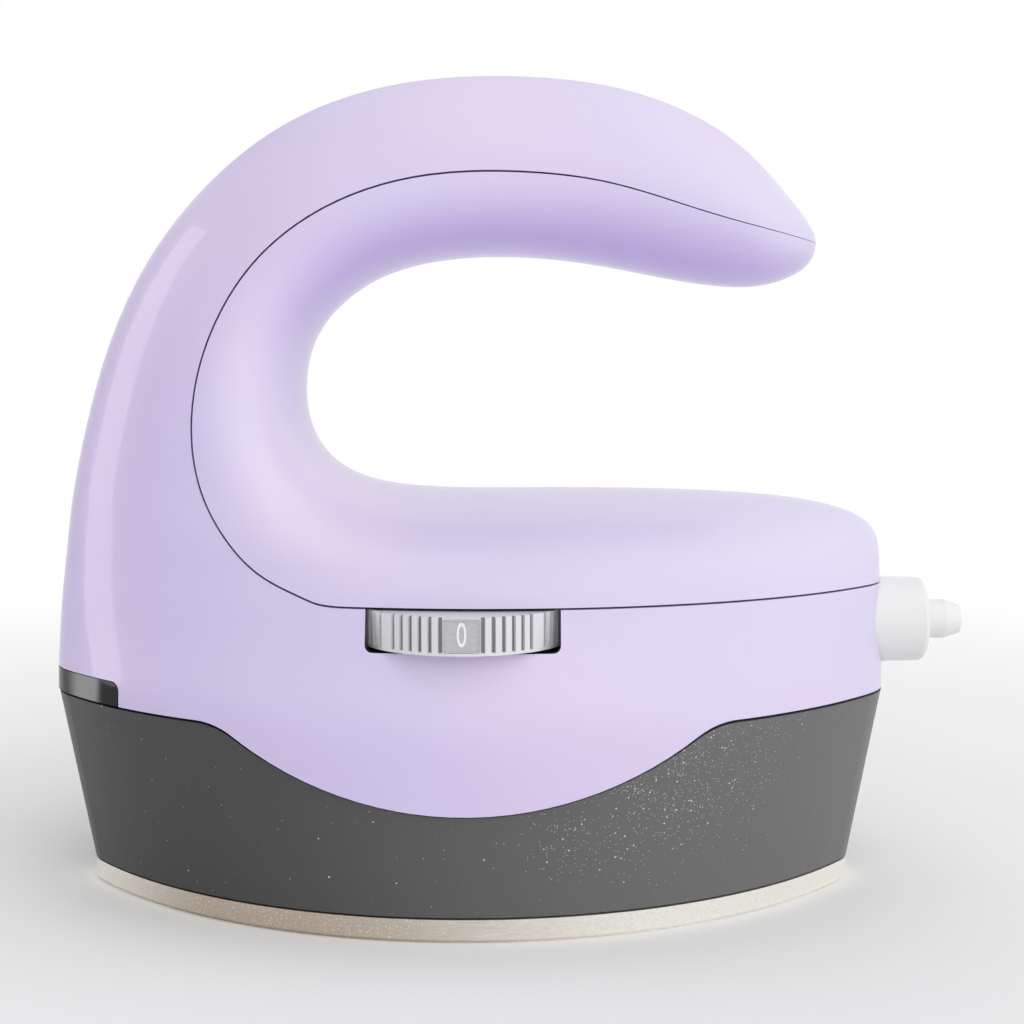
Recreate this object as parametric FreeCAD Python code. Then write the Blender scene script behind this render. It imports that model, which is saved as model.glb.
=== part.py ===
import FreeCAD, Part
import math
import os
from FreeCAD import Vector

# Mini handheld heat press, built as separate pieces. Millimetres, +Z up.
# Origin: centre of the sole's lower face. +X runs to the rear, where the cord leaves,
# -X to the pointed front with the indicator window, and -Y is the side with the dial.

# ---------------------------------------------------------------- sole plate
PLATE_HALF_LENGTH = 52.6
PLATE_HALF_WIDTH = 29.0
PLATE_END_RADIUS = 7.6
PLATE_RIM_HEIGHT = 3.0
PLATE_RIM_BREAK = 0.5
PAD_INSET = 7.0
PAD_HEIGHT = 5.0
POST_RADIUS = 3.5
POST_HEIGHT = 5.0
POST_END_INSET = 34.6
POST_SIDE_INSET = 13.0

# ---------------------------------------------------------------- element and sensors
ELEMENT_RADIUS = 2.6
ELEMENT_HALF_SPACING = 9.0
ELEMENT_BEND_INSET = 27.0
ELEMENT_END_INSET = 20.0
ELEMENT_GROOVE_PLAY = 0.05
ELEMENT_SINK = 1.0
PIN_RADIUS = 1.0
PIN_LENGTH = 7.0
INSULATOR_RADIUS = 1.9
INSULATOR_LENGTH = 4.0
STRAP_WIDTH = 6.0
STRAP_THICKNESS = 0.8
STRAP_FRONT_INSET = 15.6
STRAP_REAR_INSET = 16.6
FUSE_RADIUS = 1.4
FUSE_LENGTH = 11.0
FUSE_INSET = 8.6
THERMISTOR_RADIUS = 1.3
THERMISTOR_LENGTH = 5.0
THERMISTOR_GAP = 7.0

# ---------------------------------------------------------------- skirt
SKIRT_GAP = 0.3
SKIRT_FOOT = 0.1
SKIRT_FLARE = 4.4
SKIRT_HEIGHT = 23.5
SKIRT_WALL = 2.2
WAVE_DEPTH = 10.3
WAVE_HALF_SPAN = 31.0
WAVE_CREST_RADIUS = 9.0
FLANGE_THICKNESS = 2.4
FLANGE_OPENING_INSET = 17.0
BRIDGE_EDGE = 1.0
BLANKET_THICKNESS = 1.7
SHIELD_THICKNESS = 0.8
SHIELD_INSET = 5.0
SHIELD_DEPTH = 3.0

# ---------------------------------------------------------------- housing
DECK_HEIGHT = 54.3
HANDLE_RISE = 55.7
SEAM_LEVEL = 0.54364
DECK_SHOULDER = 11.3
DECK_POWER = 4.0
REAR_LEAN = 0.383
CROWN_DEPTH = 12.5
CROWN_POWER = 2.5
CAP_POWER = 6.0
ARM_BASE_RISE = 5.7
HOUSING_WALL = 2.4
HOUSING_GAP = 0.35
SEAM_GAP = 0.25
SEAM_TIP_SHARE = 0.2
SEAM_TAPER_POINTS = 4
COLUMNS = 48
CHANNEL_WALL = 5.8
CHANNEL_HALF_WIDTH = 8.4
BOSS_RADIUS = 3.4
BOSS_INSET = 17.0
BOSS_Y = 12.0
BOSS_HEIGHT = 16.0
WEB_THICKNESS = 2.0
COVER_BOSS_FRONT_INSET = 39.0
COVER_BOSS_REAR_INSET = 13.0
CHAMBER_TAPER = 4.6
CHAMBER_END_TAPER = 0.8
ROOF_END_INSET = 11.0
ROOF_SIDE_INSET = 14.0
ROOF_END_RADIUS = 6.0
ROOF_THICKNESS = 5.4

# ---------------------------------------------------------------- dial
DIAL_RADIUS = 13.0
DIAL_HEIGHT = 4.6
DIAL_RIM = 0.35
DIAL_CENTRE_X = -0.25
DIAL_CENTRE_Y = -21.2
GROOVE_DEPTH = 0.45
GROOVE_SHARE = 0.4
GROOVE_SLOPE = 0.05
RIBS_BESIDE_PLAQUE = 5
PLAQUE_WIDTH = 4.6
PLAQUE_COUNT = 4
LAND_WIDTH = 1.8
SLOT_HALF_WIDTH = 11.9
SLOT_CLEARANCE = 0.35
SLOT_CORNER_RADIUS = 0.9
SPINDLE_RADIUS = 2.0
SPINDLE_PLAY = 0.05

# ---------------------------------------------------------------- indicator
WINDOW_HEIGHT = 3.0
WINDOW_REACH = 11.7
WINDOW_PLAY = 0.12
WINDOW_CORNER_RADIUS = 1.2
GUIDE_PLAY = 0.2
GUIDE_BACK = 0.9
GUIDE_DEPTH = 6.0
GUIDE_HALF_WIDTH = 8.0
INDICATOR_BOARD_INSET = 11.5
INDICATOR_BOARD_THICKNESS = 1.2
INDICATOR_BOARD_RISE = 6.0
LED_RADIUS = 1.5
LED_LENGTH = 3.8
LED_HALF_SPACING = 4.5

# ---------------------------------------------------------------- board
BOARD_BOSS_GAP = 2.6
BOARD_WIDTH = 45.0
BOARD_THICKNESS = 1.6
BOARD_HEIGHT = 27.0
BOARD_CORNER_RADIUS = 3.0
STANDOFF_RADIUS = 2.8
STANDOFF_INSET = 3.8
SWITCH_LENGTH = 14.0
SWITCH_FRONT = 3.2
SWITCH_BACK = 8.0
SWITCH_FLOOR = 1.0
TRIAC_LENGTH = 10.5
TRIAC_THICKNESS = 4.5
TRIAC_HEIGHT = 15.0
FILM_LENGTH = 18.0
FILM_THICKNESS = 5.0
FILM_HEIGHT = 11.0
CAN_RADIUS = 4.0
CAN_HEIGHT = 11.0
CAN_BREAK = 0.6
CHIP_LENGTH = 9.0
CHIP_WIDTH = 5.0
CHIP_HEIGHT = 1.6
TERMINAL_LENGTH = 11.0
TERMINAL_WIDTH = 10.0
TERMINAL_HEIGHT = 9.0
TERMINAL_PITCH = 5.0
TERMINAL_WAY_RADIUS = 1.6
TERMINAL_WAY_DEPTH = 6.0
TERMINAL_WAY_HEIGHT = 3.0
TERMINAL_EDGE = 1.0
TERMINAL_OFFSET = 7.0

# ---------------------------------------------------------------- cord outlet
OUTLET_DROP = 5.65
COLLAR_RADIUS = 6.0
COLLAR_TIP_RADIUS = 5.75
COLLAR_REACH = 5.7
COLLAR_SEAT = 2.0
COLLAR_LIP = 1.2
COLLAR_FIT = 0.1
OUTLET_WALL = 1.5
OUTLET_BACKING = 3.6
NECK_LENGTH = 8.0
COLLAR_EDGE = 0.8
NECK_RADIUS = 4.6
NECK_BORE_RADIUS = 3.7
NOSE_RADIUS = 2.7
NOSE_LENGTH = 5.1
NOSE_PLAY = 0.08
NOSE_HEAD_LENGTH = 3.2
NOSE_TAIL = 8.0
NOSE_TIP_LENGTH = 2.2
NOSE_TIP_DROP = 0.7
BUSH_LENGTH = 5.0
CORD_BORE_RADIUS = 1.8
NUT_ACROSS_FLATS = 11.6
LEAD_RADIUS = 0.7
LEAD_HOLE_INSET = 9.0
LEAD_SHIELD_GAP = 0.7
NUT_THICKNESS = 3.0

# ---------------------------------------------------------------- fasteners and fits
SCREW_RADIUS = 1.4
SCREW_HEAD_RADIUS = 2.6
SCREW_HEAD_HEIGHT = 1.8
SCREW_HOLE_PLAY = 0.2
SCREW_GRIP = 6.0
STANDOFF_GRIP = 4.0
POST_GRIP = 4.8
CLEAR = 0.3
CUT_MARGIN = 10.0

# ---------------------------------------------------------------- derived levels
SKIRT_BOTTOM = PLATE_RIM_HEIGHT + SKIRT_GAP
SKIRT_TOP = SKIRT_BOTTOM + SKIRT_HEIGHT
PAD_TOP = PLATE_RIM_HEIGHT + PAD_HEIGHT
POST_TOP = PAD_TOP + POST_HEIGHT
SHIELD_TOP = POST_TOP + SHIELD_THICKNESS
FLANGE_TOP = SHIELD_TOP + FLANGE_THICKNESS
WALL_HALF_LENGTH = PLATE_HALF_LENGTH + SKIRT_FLARE
WALL_HALF_WIDTH = PLATE_HALF_WIDTH + SKIRT_FLARE
WALL_END_RADIUS = PLATE_END_RADIUS + SKIRT_FLARE
SHOULDER_HEIGHT = DECK_HEIGHT - DECK_SHOULDER
SEAM_HEIGHT = SKIRT_TOP + SEAM_LEVEL * (DECK_HEIGHT - SKIRT_TOP)
HANDLE_TOP = DECK_HEIGHT + HANDLE_RISE
ARM_BASE_HEIGHT = DECK_HEIGHT + ARM_BASE_RISE
OUTLET_HEIGHT = SEAM_HEIGHT - OUTLET_DROP
DIAL_TOP = SEAM_HEIGHT - SLOT_CLEARANCE
DIAL_BOTTOM = DIAL_TOP - DIAL_HEIGHT
ELEMENT_END_X = PLATE_HALF_LENGTH - ELEMENT_END_INSET
ELEMENT_BEND_X = ELEMENT_BEND_INSET - PLATE_HALF_LENGTH
STRAP_FRONT_X = ELEMENT_BEND_X + STRAP_FRONT_INSET
STRAP_REAR_X = ELEMENT_END_X - STRAP_REAR_INSET
POST_X = PLATE_HALF_LENGTH - POST_END_INSET
POST_Y = PLATE_HALF_WIDTH - POST_SIDE_INSET
BOSS_X = PLATE_HALF_LENGTH - BOSS_INSET
COVER_BOSS_FRONT_X = COVER_BOSS_FRONT_INSET - PLATE_HALF_LENGTH
COVER_BOSS_REAR_X = PLATE_HALF_LENGTH - COVER_BOSS_REAR_INSET
LEAD_HOLE_X = PLATE_HALF_LENGTH - LEAD_HOLE_INSET
BOARD_LENGTH = 2 * (BOSS_X - BOSS_RADIUS - BOARD_BOSS_GAP)
BOARD_TOP = BOARD_HEIGHT + BOARD_THICKNESS
COLLAR_FACE = WALL_HALF_LENGTH - COLLAR_SEAT
COLLAR_END = WALL_HALF_LENGTH + COLLAR_REACH
INDICATOR_BOARD_X = INDICATOR_BOARD_INSET - WALL_HALF_LENGTH
UP = Vector(0, 0, 1)
REARWARD = Vector(1, 0, 0)

# Each rib runs from the outer line of the C to its inner line. A point of either line is (x as a share of
# the wall's half length, level), where level 0 is the skirt's top, 1 the deck and 2 the handle's top.
# Then come the greatest half width, as a share of the wall's, the share of the wall's width that the
# rib takes, and how far the rib dips below the deck, as a share of the crown's depth.
RIBS = [
    ((-0.9982, -0.7015), (0.9982, -0.7015), 2.10, 0.955, 0.00),
    ((-1.0035, -0.3284), (1.0035, -0.3284), 2.10, 0.975, 0.00),
    ((-1.0035, 0.0073), (1.0000, 0.0073), 2.10, 1.000, 0.00),
    ((-1.0018, 0.1527), (0.9965, 0.2982), 2.10, 0.960, 0.00),
    ((-0.9982, 0.2800), (0.9930, 0.5891), 1.95, 0.900, 0.00),
    ((-0.9947, 0.3891), (0.9684, 0.8182), 1.65, 0.870, 0.20),
    ((-0.9895, 0.5018), (0.8246, 0.9418), 1.35, 0.850, 0.48),
    ((-0.9825, 0.6255), (0.5439, 0.9891), 1.14, 0.830, 0.64),
    ((-0.9737, 0.7782), (0.2105, 1.0000), 0.96, 0.820, 0.64),
    ((-0.9614, 0.9600), (-0.0702, 1.0018), 0.82, 0.810, 0.56),
    ((-0.9404, 1.0880), (-0.2737, 1.0359), 0.70, 0.800, 0.36),
    ((-0.9088, 1.2172), (-0.3789, 1.1382), 0.61, 0.800, 0.16),
    ((-0.8579, 1.3752), (-0.3965, 1.2819), 0.55, 0.800, 0.00),
    ((-0.7719, 1.5530), (-0.3474, 1.4111), 0.52, 0.800, 0.00),
    ((-0.6316, 1.7343), (-0.2211, 1.5153), 0.50, 0.810, 0.00),
    ((-0.4211, 1.8959), (-0.0526, 1.5619), 0.49, 0.820, 0.00),
    ((-0.1491, 1.9856), (0.1228, 1.5682), 0.48, 0.830, 0.00),
    ((0.1491, 1.9991), (0.2982, 1.5494), 0.46, 0.840, 0.00),
    ((0.4035, 1.9587), (0.4561, 1.5189), 0.45, 0.850, 0.00),
    ((0.6070, 1.8618), (0.5965, 1.4973), 0.43, 0.860, 0.00),
    ((0.7298, 1.7451), (0.7018, 1.4991), 0.41, 0.870, 0.00),
    ((0.7930, 1.6679), (0.7719, 1.5224), 0.38, 0.880, 0.00),
    ((0.8193, 1.6248), (0.8088, 1.5512), 0.35, 0.880, 0.00),
    ((0.8254, 1.5907), (0.8254, 1.5907), 0.33, 0.880, 0.00),
]
RIB_REAR_CORNER = 4
RIB_DECK_END = 8
RIB_COLUMN = 9
RIB_ARM_BLEND = 12
RIB_ARM = 15
RIB_ARM_END = 20
FULL_DIP = 0.64
DIP_SETBACK = 3.0

# The line along which the outer shell and the inner cover meet, from the handle's tip to the rear,
# as (share of the wall's half length, level).
SEAM_LINE = [
    (0.8526, 1.5900),
    (0.6842, 1.6190),
    (0.5231, 1.6589),
    (0.3174, 1.7186),
    (0.0981, 1.7425),
    (-0.1316, 1.7263),
    (-0.3222, 1.6590),
    (-0.4742, 1.5415),
    (-0.5744, 1.3792),
    (-0.6183, 1.1500),
    (-0.5819, 0.9792),
    (-0.5245, 0.8029),
    (-0.4458, 0.6624),
    (-0.3489, 0.5747),
    (-0.2510, SEAM_LEVEL),
]


# ---------------------------------------------------------------- general shapes
def moved(shape, x, y, z):
    copy = shape.copy()
    copy.translate(Vector(x, y, z))
    return copy


def fused(shapes):
    return shapes[0].multiFuse(shapes[1:]).removeSplitter()


def upright(radius, bottom, top, x, y):
    return Part.makeCylinder(radius, top - bottom, Vector(x, y, bottom), UP)


def block(x0, x1, y0, y1, z0, z1):
    return Part.makeBox(x1 - x0, y1 - y0, z1 - z0, Vector(x0, y0, z0))


def rounded_plate(length, width, radius, bottom, thickness):
    plate = Part.makeBox(length, width, thickness, Vector(-length / 2, -width / 2, bottom))
    corners = [edge for edge in plate.Edges if abs(edge.Vertexes[0].Z - edge.Vertexes[-1].Z) > thickness / 2]
    return plate.makeFillet(radius, corners)


def lens_wire(half_length, half_width, end_radius, height):
    """A pointed oval: two long side arcs joined by two small end arcs, all tangent."""
    reach = half_length - end_radius
    side_radius = (reach ** 2 + half_width ** 2 - end_radius ** 2) / (2 * (half_width - end_radius))
    drop = side_radius - half_width
    lean = math.hypot(reach, drop)
    tangent_x = reach + end_radius * reach / lean
    tangent_y = end_radius * drop / lean

    def point(x, y):
        return Vector(x, y, height)

    side_near = Part.Arc(point(-tangent_x, -tangent_y), point(0, -half_width), point(tangent_x, -tangent_y))
    rear = Part.Arc(point(tangent_x, -tangent_y), point(half_length, 0), point(tangent_x, tangent_y))
    side_far = Part.Arc(point(tangent_x, tangent_y), point(0, half_width), point(-tangent_x, tangent_y))
    front = Part.Arc(point(-tangent_x, tangent_y), point(-half_length, 0), point(-tangent_x, -tangent_y))
    return Part.Wire([arc.toShape() for arc in (side_near, rear, side_far, front)])


def outline(offset, height):
    """The sole's outline, grown or shrunk by an offset."""
    return lens_wire(
        PLATE_HALF_LENGTH + offset, PLATE_HALF_WIDTH + offset, max(PLATE_END_RADIUS + offset, 1.0), height
    )


def outline_block(offset, bottom, top):
    return Part.Face(outline(offset, bottom)).extrude(Vector(0, 0, top - bottom))


def outline_loft(low_offset, low, high_offset, high):
    return Part.makeLoft([outline(low_offset, low), outline(high_offset, high)], True, True)


def outline_half_width(x, half_length, half_width, end_radius):
    """Half width of the pointed oval at a distance x from its middle."""
    reach = half_length - end_radius
    side_radius = (reach ** 2 + half_width ** 2 - end_radius ** 2) / (2 * (half_width - end_radius))
    drop = side_radius - half_width
    tangent_x = reach + end_radius * reach / math.hypot(reach, drop)
    distance = min(abs(x), half_length)
    if distance > tangent_x:
        return math.sqrt(max(end_radius ** 2 - (distance - reach) ** 2, 0.0))
    return math.sqrt(side_radius ** 2 - distance ** 2) - drop


def screw(x, y, head_bottom, shank_length, head_up):
    """A pan-head screw: the head sits on head_bottom and the shank points away from it."""
    head = upright(SCREW_HEAD_RADIUS, 0, SCREW_HEAD_HEIGHT, 0, 0)
    rim = [edge for edge in head.Edges if edge.Vertexes[0].Z > SCREW_HEAD_HEIGHT / 2 and edge.Closed]
    head = head.makeChamfer(SCREW_HEAD_HEIGHT / 3, rim)
    shank = upright(SCREW_RADIUS, -shank_length, 0, 0, 0)
    body = fused([head, shank])
    if not head_up:
        body.rotate(Vector(0, 0, 0), REARWARD, 180)
    return moved(body, x, y, head_bottom)


def corners(x, y):
    return [(sx * x, sy * y) for sx in (-1, 1) for sy in (-1, 1)]


# ---------------------------------------------------------------- housing form
def at_level(share, level):
    """A point of the side view, from its share of the half length and its level."""
    if level < 0:
        height = SKIRT_TOP * (1 + level)
    elif level < 1:
        height = SKIRT_TOP + level * (DECK_HEIGHT - SKIRT_TOP)
    else:
        height = DECK_HEIGHT + (level - 1) * HANDLE_RISE
    return Vector(share * WALL_HALF_LENGTH, 0, height)


def index_curve(points):
    """A smooth curve through the points, whose parameter is the point's index."""
    curve = Part.BSplineCurve()
    curve.interpolate(Points=points, Parameters=[float(index) for index in range(len(points))])
    return curve


def deck_height(x):
    """Height of the deck's centre line: flat, with a rounded shoulder at the rear."""
    share = min(abs(x) / rear_reach(SHOULDER_HEIGHT), 1.0)
    return SHOULDER_HEIGHT + DECK_SHOULDER * (1 - share ** DECK_POWER) ** (1 / DECK_POWER)


def rear_reach(height):
    """Where the rear wall stands at a height: it leans in a little towards its top."""
    rise = max(height - SKIRT_TOP, 0.0) / (SHOULDER_HEIGHT - SKIRT_TOP)
    return WALL_HALF_LENGTH - REAR_LEAN * rise ** 2


def rolled(depth):
    """How full the section is at a depth below the inner line, from 0 on the line to 1."""
    share = min(depth / CROWN_DEPTH, 1.0)
    return math.sqrt(max(1 - (1 - share) ** CROWN_POWER, 0.0))


class HousingForm:
    """The C-shaped outside of the housing, as one skin over ribs that fan from the deck to the tip."""

    def __init__(self):
        self.last = len(RIBS) - 1
        inner_points = [at_level(*rib[1]) for rib in RIBS]
        self.outer = index_curve([at_level(*rib[0]) for rib in RIBS])
        self.inner = index_curve(inner_points)
        self.deck_end = inner_points[RIB_DECK_END].x
        self.widths = index_curve([Vector(index, rib[2], rib[3]) for index, rib in enumerate(RIBS)])
        self.dips = index_curve([Vector(index, rib[4], 0) for index, rib in enumerate(RIBS)])
        self.underside = self.inner.copy()
        self.underside.segment(float(RIB_DECK_END - 1), float(self.last))
        deck_ribs = range(RIB_REAR_CORNER, RIB_DECK_END + 1)
        angles = [
            math.atan2(inner_points[index].z - SHOULDER_HEIGHT, inner_points[index].x) for index in deck_ribs
        ]
        self.turn = Part.BSplineCurve()
        self.turn.interpolate(
            Points=[Vector(index, angle, 0) for index, angle in zip(deck_ribs, angles)],
            Parameters=[float(index) for index in deck_ribs],
        )

    def inner_point(self, station):
        """A point of the inner line: up the rear wall, round the shoulder, then along the deck and arm."""
        point = self.inner.value(station)
        if station <= RIB_REAR_CORNER:
            return Vector(rear_reach(point.z), 0, point.z)
        if station < RIB_DECK_END:
            angle = self.turn.value(station).y
            across = abs(math.cos(angle) / rear_reach(SHOULDER_HEIGHT)) ** DECK_POWER
            rise = abs(math.sin(angle) / DECK_SHOULDER) ** DECK_POWER
            reach = (across + rise) ** (-1 / DECK_POWER)
            return Vector(reach * math.cos(angle), 0, SHOULDER_HEIGHT + reach * math.sin(angle))
        return point

    def inner_depth(self, x, z, station, along):
        """Depth of a point below the inner line."""
        if x > self.deck_end and z < ARM_BASE_HEIGHT:
            return max(deck_height(x) - z, 0.0)
        if station >= RIB_ARM:
            return along
        foot = self.underside.value(self.underside.parameter(Vector(x, 0, z)))
        straight = math.hypot(x - foot.x, z - foot.z)
        share = min(max((station - RIB_ARM_BLEND) / (RIB_ARM - RIB_ARM_BLEND), 0.0), 1.0)
        share = share * share * (3 - 2 * share)
        return straight * (1 - share) + along * share

    def half_width(self, x, z, outer_depth, station, along):
        """Half width of the housing at a point of its side view."""
        widths = self.widths.value(station)
        if x > 0 and z < ARM_BASE_HEIGHT:
            place = x * WALL_HALF_LENGTH / rear_reach(z)
        else:
            place = WALL_HALF_LENGTH - outer_depth
        wall = outline_half_width(place, WALL_HALF_LENGTH, WALL_HALF_WIDTH, WALL_END_RADIUS) * widths.z
        if wall <= 0:
            return 0.0
        cap = widths.y * WALL_HALF_WIDTH
        capped = wall * cap / (wall ** CAP_POWER + cap ** CAP_POWER) ** (1 / CAP_POWER)
        return capped * rolled(self.inner_depth(x, z, station, along))

    def rib(self, station):
        """The closed section at a station, as points evenly spread by angle."""
        start = self.inner_point(station)
        end = self.outer.value(station)
        bend = (start + end) * 0.5
        dip = self.dips.value(station).y
        if dip > 0:
            share = min(dip / FULL_DIP, 1.0)
            low = Vector(start.x - DIP_SETBACK, 0, start.z - FULL_DIP * CROWN_DEPTH)
            bend = bend * (1 - share) + low * share
        length = (end - start).Length
        half = []
        for column in range(COLUMNS // 2 + 1):
            share = (1 - math.cos(2 * math.pi * column / COLUMNS)) / 2
            point = start * (1 - share) ** 2 + bend * (2 * share * (1 - share)) + end * share ** 2
            depth = (point - end).Length
            inside = 0 < column < COLUMNS // 2
            width = self.half_width(point.x, point.z, depth, station, share * length) if inside else 0.0
            half.append(Vector(point.x, -width, point.z))
        return half + [Vector(point.x, -point.y, point.z) for point in reversed(half[1:-1])]

    def skin(self):
        """The spline surface through the ribs: closed round the section, clamped at both ends."""
        step = 1 / 3
        spans = 2 * self.last
        places = [0.0, step] + [float(index) for index in range(1, spans)] + [spans - step, float(spans)]
        rows = []
        for place in places:
            row = self.rib(place / 2)
            if 0 < place < spans:
                before = self.rib((place - step) / 2)
                after = self.rib((place + step) / 2)
                pull = 1.5 if 1 <= place <= spans - 1 else 0.5
                row = [point - (b + a - point * 2) * pull for point, b, a in zip(row, before, after)]
            rows.append(row)
        poles = []
        for row in rows:
            around = range(COLUMNS)
            poles.append(
                [row[j] - (row[j - 1] + row[(j + 1) % COLUMNS] - row[j] * 2) * (1 / 6) for j in around]
            )
        poles[-1] = [rows[-1][0]] * COLUMNS
        along = list(range(len(poles) - 2))
        surface = Part.BSplineSurface()
        surface.buildFromPolesMultsKnots(
            poles,
            [4] + [1] * (len(along) - 2) + [4],
            [1] * (COLUMNS + 1),
            along,
            list(range(COLUMNS + 1)),
            False,
            True,
            3,
            3,
        )
        return surface

    def solid(self):
        """The whole form as one solid, closed by a flat face at its foot."""
        side = self.skin().toShape()
        foot = [edge for edge in side.Edges if edge.Closed and not edge.Degenerated][0]
        floor = Part.Face(Part.Wire([foot])).reversed()
        return Part.Solid(Part.Shell([side, floor]))

    def channel(self):
        """The hollow inside the column and the arm."""
        outer_side = []
        inner_side = []
        for index in range(RIB_COLUMN, RIB_ARM_END + 1):
            start = self.inner_point(float(index))
            end = self.outer.value(float(index))
            across = (end - start).normalize()
            inner_side.append(start + across * CHANNEL_WALL)
            outer_side.append(end - across * CHANNEL_WALL)
        inner_edge = index_curve(inner_side).toShape()
        outer_edge = index_curve(outer_side).toShape()
        foot = Part.makeLine(inner_side[0], outer_side[0])
        head = Part.makeLine(inner_side[-1], outer_side[-1])
        face = Part.Face(Part.Wire([inner_edge, head, outer_edge, foot]))
        face.translate(Vector(0, -CHANNEL_HALF_WIDTH, 0))
        return face.extrude(Vector(0, 2 * CHANNEL_HALF_WIDTH, 0))


def seam_block(gap):
    """Everything on the inner side of the seam, pushed out by a gap that closes towards the tip."""
    line = index_curve([at_level(*place) for place in SEAM_LINE])
    points = []
    for index in range(len(SEAM_LINE)):
        along = line.tangent(float(index))[0]
        opened = min(index / SEAM_TAPER_POINTS, 1.0)
        local_gap = gap * (SEAM_TIP_SHARE + (1 - SEAM_TIP_SHARE) * opened)
        points.append(line.value(float(index)) + Vector(along.z, 0, -along.x) * local_gap)
    points[-1] = Vector(points[-1].x, 0, SEAM_HEIGHT - gap)
    edge = Part.BSplineCurve()
    edge.interpolate(Points=points, InitialTangent=Vector(-6, 0, 1), FinalTangent=REARWARD)
    far = WALL_HALF_LENGTH + CUT_MARGIN
    low = Vector(far, 0, points[-1].z)
    high = Vector(far, 0, points[0].z)
    face = Part.Face(
        Part.Wire(
            [
                edge.toShape(),
                Part.makeLine(points[-1], low),
                Part.makeLine(low, high),
                Part.makeLine(high, points[0]),
            ]
        )
    )
    face.translate(Vector(0, -WALL_HALF_WIDTH - CUT_MARGIN, 0))
    return face.extrude(Vector(0, 2 * (WALL_HALF_WIDTH + CUT_MARGIN), 0))


# ---------------------------------------------------------------- sole and heater
def screw_posts():
    return corners(POST_X, POST_Y)


def element_path_height():
    return PAD_TOP - ELEMENT_SINK


def u_tube(radius, end_x):
    """The element's bend: two legs along X joined by a half turn at the front."""
    height = element_path_height()
    legs = []
    for side in (-1, 1):
        start = Vector(ELEMENT_BEND_X, side * ELEMENT_HALF_SPACING, height)
        legs.append(Part.makeCylinder(radius, end_x - ELEMENT_BEND_X, start, REARWARD))
    circle = Part.makeCircle(radius, Vector(ELEMENT_BEND_X, ELEMENT_HALF_SPACING, height), REARWARD)
    turn = Part.Face(Part.Wire(circle))
    turn = turn.revolve(Vector(ELEMENT_BEND_X, 0, height), UP, 180)
    return fused(legs + [turn])


def heat_plate():
    """Cast sole: a polished rim, a raised pad with the element's groove and four screw posts."""
    rim = outline_block(0.0, 0.0, PLATE_RIM_HEIGHT)
    lower = [edge for edge in rim.Edges if abs(edge.BoundBox.ZMax) < 1e-6]
    rim = rim.makeChamfer(PLATE_RIM_BREAK, lower)
    pad = outline_block(-PAD_INSET, PLATE_RIM_HEIGHT, PAD_TOP)
    posts = [upright(POST_RADIUS, PLATE_RIM_HEIGHT, POST_TOP, x, y) for x, y in screw_posts()]
    plate = fused([rim, pad] + posts)
    holes = [upright(SCREW_RADIUS, POST_TOP - SCREW_GRIP, POST_TOP, x, y) for x, y in screw_posts()]
    straps = [upright(SCREW_RADIUS, PAD_TOP - SCREW_GRIP / 2, PAD_TOP, x, 0) for x in strap_places()]
    groove = u_tube(ELEMENT_RADIUS + ELEMENT_GROOVE_PLAY, PLATE_HALF_LENGTH)
    return plate.cut(groove).cut(Part.Compound(holes + straps))


def strap_places():
    return (STRAP_FRONT_X, STRAP_REAR_X)


def heating_element():
    return u_tube(ELEMENT_RADIUS, ELEMENT_END_X)


def element_ends():
    return [(ELEMENT_END_X, side * ELEMENT_HALF_SPACING) for side in (-1, 1)]


def terminal_insulators():
    """Ceramic beads that close the element's two ends."""
    height = element_path_height()
    beads = []
    for x, y in element_ends():
        bead = Part.makeCylinder(INSULATOR_RADIUS, INSULATOR_LENGTH, Vector(x, y, height), REARWARD)
        bore = Part.makeCylinder(PIN_RADIUS, INSULATOR_LENGTH, Vector(x, y, height), REARWARD)
        beads.append(bead.cut(bore))
    return Part.Compound(beads)


def terminal_pins():
    height = element_path_height()
    pins = []
    for x, y in element_ends():
        pins.append(Part.makeCylinder(PIN_RADIUS, PIN_LENGTH, Vector(x, y, height), REARWARD))
    return Part.Compound(pins)


def element_straps():
    """Two bent steel straps that hold the element's legs down on the pad."""
    reach = ELEMENT_HALF_SPACING + ELEMENT_RADIUS + CLEAR
    inner = reach - 2 * ELEMENT_RADIUS - 2 * CLEAR
    crest = element_path_height() + ELEMENT_RADIUS + CLEAR
    top = crest + STRAP_THICKNESS
    half = STRAP_WIDTH / 2
    straps = []
    for x in strap_places():
        strap = block(x - half, x + half, -reach, reach, PAD_TOP, top)
        dip = inner - STRAP_THICKNESS
        rooms = [
            block(x - half, x + half, -reach, -inner, PAD_TOP, crest),
            block(x - half, x + half, inner, reach, PAD_TOP, crest),
            block(x - half, x + half, -dip, dip, PAD_TOP + STRAP_THICKNESS, top),
            upright(SCREW_RADIUS + SCREW_HOLE_PLAY, PAD_TOP, top, x, 0),
        ]
        straps.append(strap.cut(Part.Compound(rooms)))
    return Part.Compound(straps)


def strap_screws():
    seat = PAD_TOP + STRAP_THICKNESS
    return Part.Compound([screw(x, 0, seat, SCREW_GRIP / 2, True) for x in strap_places()])


def thermal_fuse():
    """A fuse barrel that lies on the pad between the element's legs."""
    start = Vector(ELEMENT_END_X - FUSE_INSET, 0, PAD_TOP + FUSE_RADIUS)
    return Part.makeCylinder(FUSE_RADIUS, FUSE_LENGTH, start, REARWARD)


def thermistor():
    start = Vector(STRAP_FRONT_X + THERMISTOR_GAP, 0, PAD_TOP + THERMISTOR_RADIUS)
    return Part.makeCylinder(THERMISTOR_RADIUS, THERMISTOR_LENGTH, start, REARWARD)


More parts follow.
